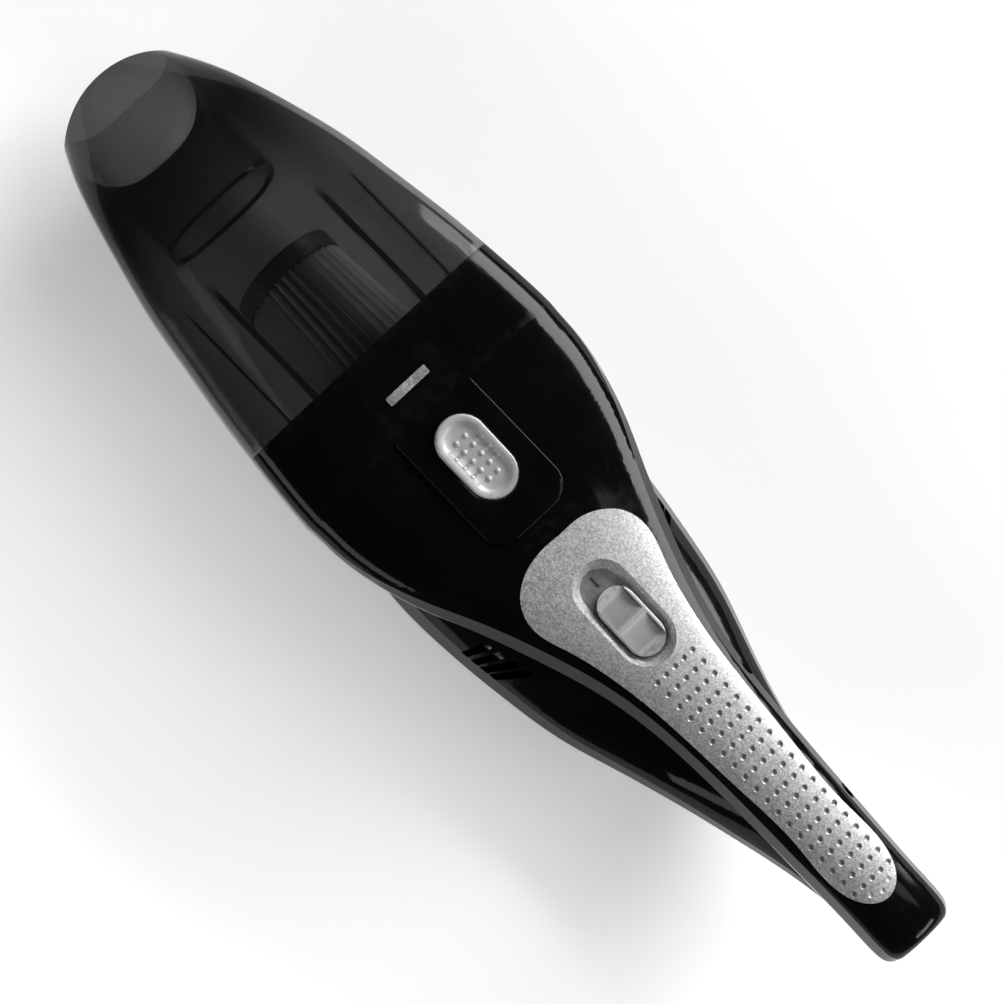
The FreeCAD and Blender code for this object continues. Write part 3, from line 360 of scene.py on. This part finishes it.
# ---------------------------------------------------------------- finishes
@dataclass(frozen=True)
class GlossShell:
    """High-gloss moulded plastic with faint mould ripple, handling haze and fine hairlines."""

    name: str
    colour: float = 0.0022
    hazed_gain: float = 2.6
    roughness: float = 0.075
    haze: float = 0.07
    scratch_roughness: float = 0.05
    wear_roughness: float = 0.16
    smear: Grain = Grain(0.035, patches=(0.42, 0.72))
    hairline: Grain = Grain(0.0016, 2.0, (0.12, 1.0, 1.0), (0.6, 0.72))
    hairline_depth: float = 2.0e-6
    mould: Grain = Grain(0.012, 2.0)
    ripple: float = 1.2e-5
    ior: float = 1.26

    def make(self) -> bpy.types.Material:
        """Builds the material.

        Returns:
            The material.
        """
        b = Bench(self.name)
        smears, hairlines, worn = b.grain(self.smear), b.grain(self.hairline), b.edges()
        hazed = grey(self.colour * self.hazed_gain)
        colour = b.tint(smears * 0.5 + worn * 0.5, grey(self.colour), hazed)
        rough = self.roughness + smears * self.haze
        rough = rough + hairlines * self.scratch_roughness + worn * self.wear_roughness
        normal = b.bump(b.grain(self.mould), self.ripple)
        normal = b.bump(hairlines, self.hairline_depth, normal)
        return b.finish(Base_Color=colour, Roughness=rough, Normal=normal, IOR=self.ior)


@dataclass(frozen=True)
class SmokedShell:
    """Smoked see-through plastic: denser where the eye grazes it, scuffed and dusty in places."""

    name: str
    colour: float = 0.006
    dusty_gain: float = 3.0
    density: float = 0.43
    edge_density: float = 0.3
    edge_blend: float = 0.35
    dust_density: float = 0.05
    scuff_density: float = 0.04
    low_band: Pair = (0.02, 0.05)
    low_density: float = 0.1
    dust: Grain = Grain(0.03, patches=(0.45, 0.85))
    dust_share: float = 0.6
    dust_roughness: float = 0.04
    scuff: Grain = Grain(0.002, 3.0, (0.1, 1.0, 1.0), (0.68, 0.8))
    scuff_share: float = 0.3
    scuff_roughness: float = 0.03
    roughness: float = 0.06
    mould: Grain = Grain(0.016, 2.0)
    ripple: float = 1.2e-5
    ior: float = 1.3

    def thickness(self, b: Bench) -> Signal:
        """Extra density low down, where the moulding is thicker.

        Args:
            b: the material's bench.

        Returns:
            The density to add.
        """
        return (1.0 - b.along("Z").above(*self.low_band)) * self.low_density

    def make(self) -> bpy.types.Material:
        """Builds the material.

        Returns:
            The material.
        """
        b = Bench(self.name)
        scuffs, dust = b.grain(self.scuff), b.grain(self.dust)
        grazing = b.add("ShaderNodeLayerWeight", {}, {"Blend": self.edge_blend}, "Facing")
        tint_share = dust * self.dust_share + scuffs * self.scuff_share
        colour = b.tint(tint_share, grey(self.colour), grey(self.colour * self.dusty_gain))
        alpha = self.density + grazing * self.edge_density
        alpha = alpha + dust * self.dust_density + scuffs * self.scuff_density
        rough = self.roughness + dust * self.dust_roughness + scuffs * self.scuff_roughness
        normal = b.bump(b.grain(self.mould), self.ripple)
        return b.finish(Base_Color=colour, Alpha=(alpha + self.thickness(b)).held(),
                        Roughness=rough, Normal=normal, IOR=self.ior)


@dataclass(frozen=True)
class BowlShell(SmokedShell):
    """The dust bowl's plastic, darker along its ribs, side creases, underside and tip."""

    low_density: float = 0.16
    tip_band: Pair = (0.13, 0.19)
    tip_density: float = 0.22
    rib_side: float = 0.0255
    rib_half: float = 0.0008
    rib_density: float = 0.6
    crease_side: float = 0.0378
    crease_half: float = 0.0003
    crease_density: float = 0.45
    line_softness: float = 0.0004
    line_reach: float = 0.061
    line_fade: Pair = (-0.012, 0.002)
    roof_band: Pair = (0.055, 0.06)

    def stripe(self, b: Bench, side: float, half: float) -> Signal:
        """Mask of a straight line down each side of the bowl's roof.

        Args:
            b: the material's bench.
            side: distance of the line from the middle.
            half: half its width.

        Returns:
            The mask.
        """
        tip = box_of("dust_bowl")[0].x + self.line_reach
        off = b.along("Y").magnitude() - side
        line = 1.0 - off.magnitude().above(half, half + self.line_softness)
        ends = 1.0 - b.along("X").above(tip + self.line_fade[0], tip + self.line_fade[1])
        return line * ends * b.along("Z").above(*self.roof_band)

    def thickness(self, b: Bench) -> Signal:
        """Extra density where the moulding is thicker.

        Args:
            b: the material's bench.

        Returns:
            The density to add.
        """
        tip = b.along("X").above(*self.tip_band) * self.tip_density
        ribs = self.stripe(b, self.rib_side, self.rib_half) * self.rib_density
        creases = self.stripe(b, self.crease_side, self.crease_half) * self.crease_density
        return super().thickness(b) + tip + ribs + creases


@dataclass(frozen=True)
class DuctShell(SmokedShell):
    """The intake duct's plastic, thin at the mouth's flange and dark round its open rim."""

    rim: float = 0.0011
    rim_start: float = 0.6
    rim_density: float = 0.7
    lean: float = 0.1
    lip_setback: float = 0.042
    flange: float = 0.004
    flange_clearness: float = 0.14

    def thickness(self, b: Bench) -> Signal:
        """Extra density at the rim, and less at the flange.

        Args:
            b: the material's bench.

        Returns:
            The density to add.
        """
        behind = b.along("X") - b.along("Z") * self.lean - box_of("intake_duct")[0].x
        rim = 1.0 - behind.above(self.rim * self.rim_start, self.rim)
        lip = box_of("dust_bowl")[1].x - self.lip_setback
        ahead = b.along("X") - b.along("Z")
        flange = ahead.above(lip - self.flange, lip - self.flange / 2)
        return rim * self.rim_density - flange * self.flange_clearness


@dataclass(frozen=True)
class SatinSilver:
    """Silver paint with fine metal flake under a satin lacquer."""

    name: str
    colour: float = 0.56
    spread: float = 0.42
    flake: float = 0.0005
    flake_share: float = 0.75
    flake_roughness: float = 0.14
    flake_depth: float = 1.1e-5
    cloud: Grain = Grain(0.02)
    peel: Grain = Grain(0.0011)
    peel_depth: float = 1.2e-5
    roughness: float = 0.4
    metallic: float = 0.5
    wear_band: Pair = (0.54, 0.62)
    wear_share: float = 0.35
    wear_shine: float = 0.08
    # painted shade in the hollows: the pointiness band and its share
    hollow_band: Pair = (0.4, 0.49)
    hollow_dirt: float = 0.3
    # the darker colour, used for real edge wear and for the painted shade in the hollows
    dirt_colour: float = 0.07
    lacquer: float = 0.15
    lacquer_roughness: float = 0.25

    def grime(self, b: Bench) -> Signal:
        """Painted shade in the paint's hollows, where the surface curves in.

        Args:
            b: the material's bench.

        Returns:
            The share of painted shade.
        """
        # painted shade: darker where pointiness shows the surface curving in
        return (1.0 - b.pointiness().above(*self.hollow_band)) * self.hollow_dirt

    def make(self) -> bpy.types.Material:
        """Builds the material.

        Returns:
            The material.
        """
        b = Bench(self.name)
        random = b.add("ShaderNodeSeparateColor", {}, {"Color": b.flecks(self.flake)})
        worn = b.edges(*self.wear_band)
        light = random * self.flake_share + b.grain(self.cloud) * (1.0 - self.flake_share)
        low, high = self.colour * (1.0 - self.spread), self.colour * (1.0 + self.spread)
        colour = b.tint(light.held(), grey(low), grey(high))
        # share of the darker tint: real edge wear plus painted shade in the hollows
        tint_share = (worn * self.wear_share + self.grime(b)).held()
        colour = b.tint(tint_share, colour, grey(self.dirt_colour))
        rough = self.roughness + random * self.flake_roughness - worn * self.wear_shine
        normal = b.bump(random, self.flake_depth)
        normal = b.bump(b.grain(self.peel), self.peel_depth, normal)
        return b.finish(Base_Color=colour, Roughness=rough, Metallic=self.metallic,
                        Normal=normal, Coat_Weight=self.lacquer,
                        Coat_Roughness=self.lacquer_roughness)


@dataclass(frozen=True)
class DimpledSilver(SatinSilver):
    """The grip's silver paint, with painted shade in its rows of dimples."""

    first: float = 0.0601
    pitch_x: float = 0.00553
    pitch_y: float = 0.0042
    columns: int = 19
    rows: int = 5
    fade: float = 0.05
    dimple: Pair = (0.0008, 0.00125)
    # share of painted shade in each dimple
    dimple_dirt: float = 0.72
    shade_shift: float = 0.0003

    def grime(self, b: Bench) -> Signal:
        """Painted shade in the dimples, a little to their shaded side.

        Args:
            b: the material's bench.

        Returns:
            The share of dirt.
        """
        start = box_of("grip_inlay")[1].x - self.first
        x, y = start - b.along("X"), b.along("Y") + self.shade_shift
        u = ((y / self.pitch_y + 0.5).fraction() - 0.5) * self.pitch_y
        v = ((x / self.pitch_x + 0.5).fraction() - 0.5) * self.pitch_x
        disc = 1.0 - ((u * u + v * v) ** 0.5).above(*self.dimple)
        side, end = self.rows / 2, self.columns - 0.5
        beside = 1.0 - y.magnitude().above((side - self.fade) * self.pitch_y, side * self.pitch_y)
        ahead = x.above(-0.5 * self.pitch_x, (self.fade - 0.5) * self.pitch_x)
        behind = 1.0 - x.above((end - self.fade) * self.pitch_x, end * self.pitch_x)
        # painted shade: dark discs on the dimple grid, moved by shade_shift towards their shaded
        # side
        return disc * beside * ahead * behind * self.dimple_dirt


@dataclass(frozen=True)
class SparkedPlastic:
    """Matt moulded plastic with a fine spark-eroded texture."""

    name: str
    colour: Triple = (0.02, 0.02, 0.021)
    worn_gain: float = 1.7
    worn_lift: float = 0.01
    spark: Grain = Grain(0.00035)
    spark_share: float = 0.25
    spark_roughness: float = 0.16
    spark_depth: float = 1.6e-5
    cloud: Grain = Grain(0.015)
    cloud_share: float = 0.5
    wear_share: float = 0.4
    wear_shine: float = 0.14
    roughness: float = 0.5

    def make(self) -> bpy.types.Material:
        """Builds the material.

        Returns:
            The material.
        """
        b = Bench(self.name)
        sparks, cloud, worn = b.grain(self.spark), b.grain(self.cloud), b.edges()
        share = cloud * self.cloud_share + sparks * self.spark_share + worn * self.wear_share
        bright = shade(self.colour, self.worn_gain, self.worn_lift)
        rough = self.roughness + sparks * self.spark_roughness - worn * self.wear_shine
        return b.finish(Base_Color=b.tint(share, shade(self.colour), bright), Roughness=rough,
                        Normal=b.bump(sparks, self.spark_depth))


@dataclass(frozen=True)
class DrawnMetal:
    """Bare or plated metal with draw lines along one axis and fine pitting."""

    name: str
    colour: Triple = (0.55, 0.55, 0.56)
    dark_gain: float = 0.55
    streak: Grain = Grain(0.0006, 3.0, (0.05, 1.0, 1.0))
    streak_share: float = 0.2
    streak_roughness: float = 0.2
    streak_depth: float = 4.0e-6
    tarnish: Grain = Grain(0.01, 4.0, patches=(0.5, 0.8))
    tarnish_share: float = 0.5
    tarnish_roughness: float = 0.12
    wear_shine: float = 0.12
    roughness: float = 0.28

    def make(self) -> bpy.types.Material:
        """Builds the material.

        Returns:
            The material.
        """
        b = Bench(self.name)
        streaks, tarnish, worn = b.grain(self.streak), b.grain(self.tarnish), b.edges()
        share = (tarnish * self.tarnish_share + streaks * self.streak_share).held()
        colour = b.tint(share, shade(self.colour), shade(self.colour, self.dark_gain))
        rough = self.roughness + streaks * self.streak_roughness
        rough = rough + tarnish * self.tarnish_roughness - worn * self.wear_shine
        return b.finish(Base_Color=colour, Roughness=rough, Metallic=1.0,
                        Normal=b.bump(streaks, self.streak_depth))


@dataclass(frozen=True)
class SoftRubber:
    """Matt seal rubber with bloom and mould talc."""

    name: str
    colour: float = 0.018
    bloom_gain: float = 3.2
    bloom: Grain = Grain(0.006, 4.0, patches=(0.45, 0.75))
    bloom_share: float = 0.5
    bloom_roughness: float = 0.08
    wear_share: float = 0.4
    talc: Grain = Grain(0.0005)
    talc_roughness: float = 0.2
    talc_depth: float = 2.0e-5
    roughness: float = 0.66
    ior: float = 1.45

    def make(self) -> bpy.types.Material:
        """Builds the material.

        Returns:
            The material.
        """
        b = Bench(self.name)
        bloom, talc = b.grain(self.bloom), b.grain(self.talc)
        share = bloom * self.bloom_share + b.edges() * self.wear_share
        colour = b.tint(share, grey(self.colour), grey(self.colour * self.bloom_gain))
        rough = self.roughness + talc * self.talc_roughness + bloom * self.bloom_roughness
        return b.finish(Base_Color=colour, Roughness=rough, IOR=self.ior,
                        Normal=b.bump(talc, self.talc_depth))


@dataclass(frozen=True)
class FilterPaper:
    """Fibrous pleated paper, greyed by dust in patches and darker in its folds, with a faint
    painted glow.
    """

    name: str
    colour: Triple = (0.88, 0.88, 0.86)
    soil: float = 0.25
    # strength of the painted glow that brightens the pleats
    glow: float = 0.1
    fibre: Grain = Grain(0.0007, 5.0, (0.3, 1.0, 1.0))
    fibre_share: float = 0.1
    fibre_roughness: float = 0.14
    fibre_depth: float = 6.0e-5
    dust: Grain = Grain(0.012, 4.0, patches=(0.4, 0.75))
    dust_share: float = 0.15
    fold_band: Pair = (0.42, 0.5)
    fold_share: float = 0.6
    roughness: float = 0.82

    def make(self) -> bpy.types.Material:
        """Builds the material.

        Returns:
            The material.
        """
        b = Bench(self.name)
        fibres, dust = b.grain(self.fibre), b.grain(self.dust)
        # darker where pointiness shows the paper folding in
        folds = 1.0 - b.pointiness().above(*self.fold_band)
        share = dust * self.dust_share + folds * self.fold_share + fibres * self.fibre_share
        colour = b.tint(share.held(), shade(self.colour), grey(self.soil))
        # the emission is a painted glow in the paper's own colour; the paper is no lamp
        return b.finish(Base_Color=colour, Roughness=self.roughness + fibres * self.fibre_roughness,
                        Normal=b.bump(fibres, self.fibre_depth), Emission_Color=colour,
                        Emission_Strength=self.glow)


@dataclass(frozen=True)
class ShrinkSleeve:
    """Glossy shrunk sleeve over a cell or a lead, with faint wrinkles."""

    name: str
    colour: Triple = (0.05, 0.16, 0.34)
    rubbed_gain: float = 1.6
    rubbed_lift: float = 0.02
    wrinkle: Grain = Grain(0.004, 3.0, (0.3, 1.0, 1.0))
    wrinkle_share: float = 0.4
    wrinkle_roughness: float = 0.2
    wrinkle_depth: float = 3.0e-5
    wear_share: float = 0.5
    roughness: float = 0.24
    coat: float = 0.3
    coat_roughness: float = 0.1

    def make(self) -> bpy.types.Material:
        """Builds the material.

        Returns:
            The material.
        """
        b = Bench(self.name)
        wrinkles = b.grain(self.wrinkle)
        share = wrinkles * self.wrinkle_share + b.edges() * self.wear_share
        light = shade(self.colour, self.rubbed_gain, self.rubbed_lift)
        return b.finish(Base_Color=b.tint(share, shade(self.colour), light),
                        Roughness=self.roughness + wrinkles * self.wrinkle_roughness,
                        Normal=b.bump(wrinkles, self.wrinkle_depth), Coat_Weight=self.coat,
                        Coat_Roughness=self.coat_roughness)


@dataclass(frozen=True)
class SolderMask:
    """Green board lacquer over copper tracks."""

    name: str
    colour: Triple = (0.012, 0.09, 0.035)
    track_colour: Triple = (0.03, 0.2, 0.08)
    track_scale: float = 620.0
    track_band: Pair = (0.55, 0.62)
    track_share: float = 0.8
    track_depth: float = 3.0e-5
    cloud: Grain = Grain(0.003)
    cloud_roughness: float = 0.2
    roughness: float = 0.3

    def make(self) -> bpy.types.Material:
        """Builds the material.

        Returns:
            The material.
        """
        b = Bench(self.name)
        inputs = {"Vector": b.place_of(), "Scale": self.track_scale, "Distortion": 2.0,
                  "Detail": 1.0}
        wave = b.add("ShaderNodeTexWave", {"bands_direction": "X"}, inputs, 1)
        tracks, cloud = wave.above(*self.track_band), b.grain(self.cloud)
        share = tracks * self.track_share + cloud * (1.0 - self.track_share)
        return b.finish(Base_Color=b.tint(share, shade(self.colour), shade(self.track_colour)),
                        Roughness=self.roughness + cloud * self.cloud_roughness,
                        Normal=b.bump(tracks, self.track_depth))


class FinishOf(Enum):
    """The finish behind each material slot of the record, and the darker silver of the switch
    recess, which is painted shade.
    """

    smoked_clear = BowlShell("smoked_shell")
    duct_clear = DuctShell("duct_shell", density=0.15)
    gloss_black = GlossShell("gloss_black_shell")
    panel_black = GlossShell("gloss_black_panel", roughness=0.06)
    collar_black = GlossShell("gloss_black_collar", roughness=0.09)
    silver_trim = DimpledSilver("silver_trim_paint")
    button_silver = SatinSilver("silver_button_paint", colour=0.5, spread=0.14, flake=0.0003,
                                roughness=0.46, metallic=0.3)
    slider_silver = SatinSilver("silver_slider_paint", colour=0.5, spread=0.14, flake=0.0003,
                                roughness=0.44, metallic=0.35)
    # the switch plate's silver made darker: painted shade for the recess round the slider
    recess_silver = SatinSilver("silver_recess_painted_shade", colour=0.26, spread=0.2, flake=0.0003,
                                roughness=0.5, metallic=0.25)
    inner_black = SparkedPlastic("black_moulding")
    inner_grey = SparkedPlastic("grey_moulding", colour=(0.1, 0.1, 0.105))
    filter_paper = FilterPaper("filter_paper")
    seal_rubber = SoftRubber("seal_rubber")
    spring_steel = DrawnMetal("spring_wire", roughness=0.2)
    motor_steel = DrawnMetal("plated_can", colour=(0.5, 0.5, 0.52))
    shaft_steel = DrawnMetal("ground_shaft", colour=(0.62, 0.62, 0.63), roughness=0.16)
    contact_brass = DrawnMetal("tinned_brass", colour=(0.78, 0.6, 0.28))
    fan_plastic = SparkedPlastic("nylon_fan", colour=(0.5, 0.5, 0.48), roughness=0.42)
    cell_sleeve = ShrinkSleeve("cell_sleeve")
    strap_nickel = DrawnMetal("nickel_strip", colour=(0.68, 0.67, 0.64))
    board_green = SolderMask("board_mask")
    lead_red = ShrinkSleeve("red_wire_sleeve", colour=(0.45, 0.03, 0.02))
    lead_black = ShrinkSleeve("black_wire_sleeve", colour=(0.025, 0.025, 0.025))
    screw_steel = DrawnMetal("blackened_screw", colour=(0.2, 0.2, 0.21), roughness=0.34)

    def material(self) -> bpy.types.Material:
        """The finish's material, made once.

        Returns:
            The material.
        """
        found = bpy.data.materials.get(self.value.name)
        return found if found else self.value.make()


# ---------------------------------------------------------------- making pieces
def box_of(node: str) -> tuple[Vector, Vector]:
    """Lowest and highest corners of a CAD node at rest.

    Args:
        node: the node's name.

    Returns:
        The two corners.
    """
    low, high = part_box(node)
    return Vector(low), Vector(high)


@dataclass
class SubAssembly:
    """A group of pieces that belong together, and the body that they ride on."""

    body: str
    slots: dict[str, str] = field(default_factory=dict)

    def __post_init__(self) -> None:
        """Reads each node's material slot from the record."""
        for part in frame["record"]["subparts"]:
            self.slots[part["node"]] = part["material_slot"]

    def dress(self, *nodes: str, finish: "FinishOf | None" = None) -> None:
        """Gives CAD nodes their finish.

        Args:
            nodes: names of the nodes.
            finish: a finish other than their slot's.
        """
        for node in nodes:
            piece = frame["nodes"][node]
            material = (finish or FinishOf[self.slots[node]]).material()
            if not piece.material_slots:
                piece.data.materials.append(material)
            for slot in piece.material_slots:
                slot.material = material
            log.info("dressed %s in %s", node, material.name)

    def polished(self, node: str, crease: float = 12.0, round_off: float = 0.0,
                 rides: bool = True) -> bpy.types.Object:
        """Stands a welded copy with smooth shading in a CAD node's place.

        Args:
            node: the node's name.
            crease: degrees past which the edge between two CAD faces stays sharp.
            round_off: width in metres of the rounding on sharp edges.
            rides: whether the copy rides on this body.

        Returns:
            The copy.
        """
        bm = bmesh.new()
        bm.from_mesh(frame["nodes"][node].data)
        outline = bm.edges.layers.int.new("outline")
        for edge in bm.edges:
            edge[outline] = int(edge.is_boundary)
        bmesh.ops.remove_doubles(bm, verts=bm.verts, dist=WELD)
        outline = bm.edges.layers.int["outline"]
        limits = (math.radians(FACET_LIMIT), math.radians(crease))
        sharp = []
        for edge in bm.edges:
            paired = len(edge.link_faces) == 2
            edge.smooth = paired and edge.calc_face_angle(0.0) < limits[edge[outline]]
            if paired and not edge.smooth:
                sharp.append(edge)
        if round_off:
            bmesh.ops.bevel(bm, geom=sharp, affect="EDGES", offset=round_off, segments=3,
                            profile=0.5, material=-1, clamp_overlap=False)
            for edge in bm.edges:
                edge.smooth = True
        for face in bm.faces:
            face.smooth = True
            face.material_index = 0
        piece = self.settle(bm, f"{node}_surface", self.slots[node], rides)
        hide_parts(node)
        return piece

    def settle(self, bm: bmesh.types.BMesh, name: str, slot: str,
               rides: bool = True) -> bpy.types.Object:
        """Turns a bmesh into a dressed piece.

        Args:
            bm: the shape, in place; it is freed.
            name: the piece's name.
            slot: the record's material slot.
            rides: whether it rides on this body.

        Returns:
            The piece.
        """
        mesh = bpy.data.meshes.new(name)
        bm.to_mesh(mesh)
        bm.free()
        mesh.materials.clear()
        mesh.materials.append(FinishOf[slot].material())
        piece = bpy.data.objects.new(name, mesh)
        bpy.context.scene.collection.objects.link(piece)
        if rides:
            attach(piece, self.body)
        log.info("made %s with %d faces on %s", name, len(mesh.polygons), self.body)
        return piece


@dataclass
class Shells(SubAssembly):
    """The two gloss body halves, the button's panel and the silver grip inlay."""

    body: str = "body"
    panel_crease: float = 35.0
    panel_rounding: float = 0.45 * MM

    def build(self) -> None:
        """Builds and dresses the pieces."""
        for node in ("housing_left", "housing_right", "grip_inlay"):
            self.polished(node)
        self.polished("button_panel", self.panel_crease, self.panel_rounding)
        self.dress("housing_screws")


@dataclass
class Bowl(SubAssembly):
    """The smoked dust bowl with its intake duct, collar and silver bar."""

    body: str = "bowl"

    def build(self) -> None:
        """Builds and dresses the pieces."""
        for node in ("dust_bowl", "intake_duct", "bowl_collar", "collar_bar"):
            self.polished(node)


@dataclass
class Filter(SubAssembly):
    """The pleated filter with its frame, cap and seal."""

    body: str = "filter"

    def build(self) -> None:
        """Builds and dresses the pieces."""
        for node in ("filter_frame", "filter_cap", "filter_seal"):
            self.polished(node)
        self.dress("filter_pleats")


@dataclass
class ReleaseLatch(SubAssembly):
    """The release button with bright raised dots, its spring and the hook under it."""

    body: str = "button"
    button_crease: float = 42.0
    dot_pitch: float = 4.1 * MM
    dot_radius: float = 1.27 * MM
    dot_sink: float = 0.6 * MM
    dish_depth: float = 1.1 * MM
    rows: tuple[tuple[float, int], ...] = ((-1.5, 3), (-0.5, 5), (0.5, 5), (1.5, 3))

    def dots(self) -> None:
        """Sets the bright raised dots in the button's dish."""
        low, high = box_of("release_button")
        middle = (low + high) / 2
        height = high.z - self.dish_depth - self.dot_sink
        bm = bmesh.new()
        for row, count in self.rows:
            for step in range(count):
                x = middle.x + (step - (count - 1) / 2) * self.dot_pitch
                place = Matrix.Translation((x, row * self.dot_pitch, height))
                bmesh.ops.create_uvsphere(bm, u_segments=14, v_segments=10,
                                          radius=self.dot_radius, matrix=place)
        for face in bm.faces:
            face.smooth = True
        self.settle(bm, "button_dots", "button_silver")

    def spring(self) -> None:
        """Stands a smooth copy of the spring in its place, riding on no body."""
        piece = self.polished("latch_spring", rides=False)
        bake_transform(piece)

    def build(self) -> None:
        """Builds and dresses the pieces."""
        self.polished("release_button", self.button_crease)
        self.polished("latch_hook")
        self.spring()
        self.dots()


@dataclass
class PowerSwitch(SubAssembly):
    """The slider over its switch."""

    body: str = "slider"

    def build(self) -> None:
        """Builds and dresses the pieces."""
        self.polished("switch_slider")


@dataclass
class SwitchMark(SubAssembly):
    """The plain raised bar on the switch's floor that shows the running position."""

    body: str = "body"
    length: float = 4.4 * MM
    width: float = 1.0 * MM
    height: float = 0.084 * MM
    sink: float = 0.012 * MM
    rounding: float = 0.02 * MM
    setback: float = 6.6 * MM

    def build(self) -> None:
        """Builds and dresses the pieces."""
        high = box_of("switch_plate")[1]
        place = (high.x - self.setback, 0.0, high.z + self.height / 2 - self.sink)
        size = Matrix.Diagonal((self.length, self.width, self.height, 1.0))
        bm = bmesh.new()
        bmesh.ops.create_cube(bm, size=1.0, matrix=Matrix.Translation(place) @ size)
        bmesh.ops.bevel(bm, geom=bm.edges[:], affect="EDGES", offset=self.rounding, segments=2,
                        profile=0.5, material=-1)
        self.settle(bm, "switch_mark", "inner_black")
        # the switch plate wears the darker silver, painted shade for its recess
        self.dress("switch_plate", finish=FinishOf.recess_silver)


@dataclass
class Works(SubAssembly):
    """Everything inside the body: fan, motor, cells, charging board and leads."""

    body: str = "body"

    def build(self) -> None:
        """Dresses the nodes."""
        self.dress("switch_body", "bulkhead", "bowl_seal", "fan_shroud", "motor_can",
                   "motor_end_cap", "motor_terminals", "motor_mount", "battery_cells",
                   "battery_holder", "battery_straps", "charge_socket", "charge_pin",
                   "charge_board", "motor_leads", "switch_leads", "battery_leads",
                   "impeller", "motor_shaft")


# ---------------------------------------------------------------- studio
@dataclass(frozen=True)
class Softbox:
    """One rectangular lamp: its middle and size in metres, and its power in watts."""

    name: str
    place: Triple
    size: Pair
    power: float
    aim: Triple = (0.0, 0.0, 0.05)

    def hang(self) -> None:
        """Hangs the lamp, facing the vacuum."""
        lamp = bpy.data.lights.new(self.name, "AREA")
        lamp.shape = "RECTANGLE"
        lamp.size, lamp.size_y = self.size
        lamp.energy = self.power
        holder = bpy.data.objects.new(self.name, lamp)
        holder.location = self.place
        way = Vector(self.aim) - Vector(self.place)
        holder.rotation_euler = way.to_track_quat("-Z", "Y").to_euler()
        bpy.context.scene.collection.objects.link(holder)


@dataclass
class Studio:
    """Pale floor, soft lights, a bright surround and the camera."""

    target: Triple = (-0.0001, 0.0041, 0.1)
    distance: float = 1.3
    tilt: float = 5.5
    lens: float = 135.7
    sensor: float = 36.0
    reach: float = 20.0
    heading: Pair = (0.7278, -0.6858)
    horizon: float = 2.1
    zenith: float = 0.75
    sky_band: Pair = (0.1, 0.9)
    floor_half: float = 3.0
    floor_gap: float = 0.5 * MM
    floor_cloud: Grain = Grain(0.3)
    floor_colours: Pair = (0.9, 0.94)
    floor_roughness: float = 0.9
    glow_band: Pair = (-0.12, 0.22)
    glow: Pair = (0.1, 0.66)
    softboxes: "tuple[Softbox, ...]" = (
        Softbox("key_softbox", (0.05, -1.6, 0.85), (1.5, 0.7), 44.0),
        Softbox("side_softbox", (-1.6, -0.4, 0.7), (0.8, 0.4), 8.0),
        Softbox("fill_softbox", (0.5, 1.8, 0.8), (1.6, 0.5), 7.0),
        Softbox("sheen_panel", (-0.45, -0.8, 1.6), (0.8, 0.8), 4.0),
    )

    def floor(self) -> None:
        """Lays a plain pale floor, with a glow that evens out the side far from the key lamp."""
        bm = bmesh.new()
        bmesh.ops.create_grid(bm, x_segments=1, y_segments=1, size=self.floor_half)
        bmesh.ops.translate(bm, verts=bm.verts, vec=(0, 0, -self.floor_gap))
        mesh = bpy.data.meshes.new("floor")
        bm.to_mesh(mesh)
        bm.free()
        b = Bench("pale_floor")
        dull, pale = map(grey, self.floor_colours)
        near, far = map(grey, self.glow)
        far_side = b.along("Y").above(*self.glow_band)
        mesh.materials.append(b.finish(Base_Color=b.tint(b.grain(self.floor_cloud), dull, pale),
                                       Roughness=self.floor_roughness, Emission_Strength=1.0,
                                       Emission_Color=b.tint(far_side, near, far)))
        piece = bpy.data.objects.new("floor", mesh)
        bpy.context.scene.collection.objects.link(piece)

    def surround(self) -> None:
        """Sets a surround that is bright at the horizon and dim overhead."""
        world = bpy.data.worlds.new("studio")
        world.use_nodes = True
        tree = world.node_tree
        coords = tree.nodes.new("ShaderNodeTexCoord")
        height = tree.nodes.new("ShaderNodeSeparateXYZ")
        level = tree.nodes.new("ShaderNodeMapRange")
        tree.links.new(coords.outputs["Generated"], height.inputs["Vector"])
        tree.links.new(height.outputs["Z"], level.inputs["Value"])
        levels = (*self.sky_band, self.horizon, self.zenith)
        for key, value in zip(("From Min", "From Max", "To Min", "To Max"), levels):
            level.inputs[key].default_value = value
        tree.links.new(level.outputs["Result"], tree.nodes["Background"].inputs["Strength"])
        bpy.context.scene.world = world

    def camera(self) -> None:
        """Sets the camera above the vacuum, with the nozzle towards the upper left."""
        tilt = math.radians(self.tilt)
        back = Vector((0, math.sin(tilt), math.cos(tilt)))
        right = Vector((*self.heading, 0.0)).cross(back).normalized()
        up = back.cross(right)
        place = Vector(self.target) + back * self.distance
        lens = bpy.data.cameras.new("camera")
        lens.lens = self.lens
        lens.sensor_width = self.sensor
        lens.clip_end = self.reach
        holder = bpy.data.objects.new("camera", lens)
        turn = Matrix((right, up, back)).transposed().to_4x4()
        holder.matrix_world = Matrix.Translation(place) @ turn
        bpy.context.scene.collection.objects.link(holder)
        bpy.context.scene.camera = holder

    def build(self) -> None:
        """Builds the studio."""
        self.camera()
        self.floor()
        for softbox in self.softboxes:
            softbox.hang()
        self.surround()
        bpy.context.scene.view_settings.view_transform = "Standard"


def main() -> None:
    """Builds the studio and every sub-assembly in order."""
    Studio().build()
    for kind in (Shells, Bowl, Filter, ReleaseLatch, PowerSwitch, SwitchMark, Works):
        kind().build()


if __name__ == "__main__":
    main()
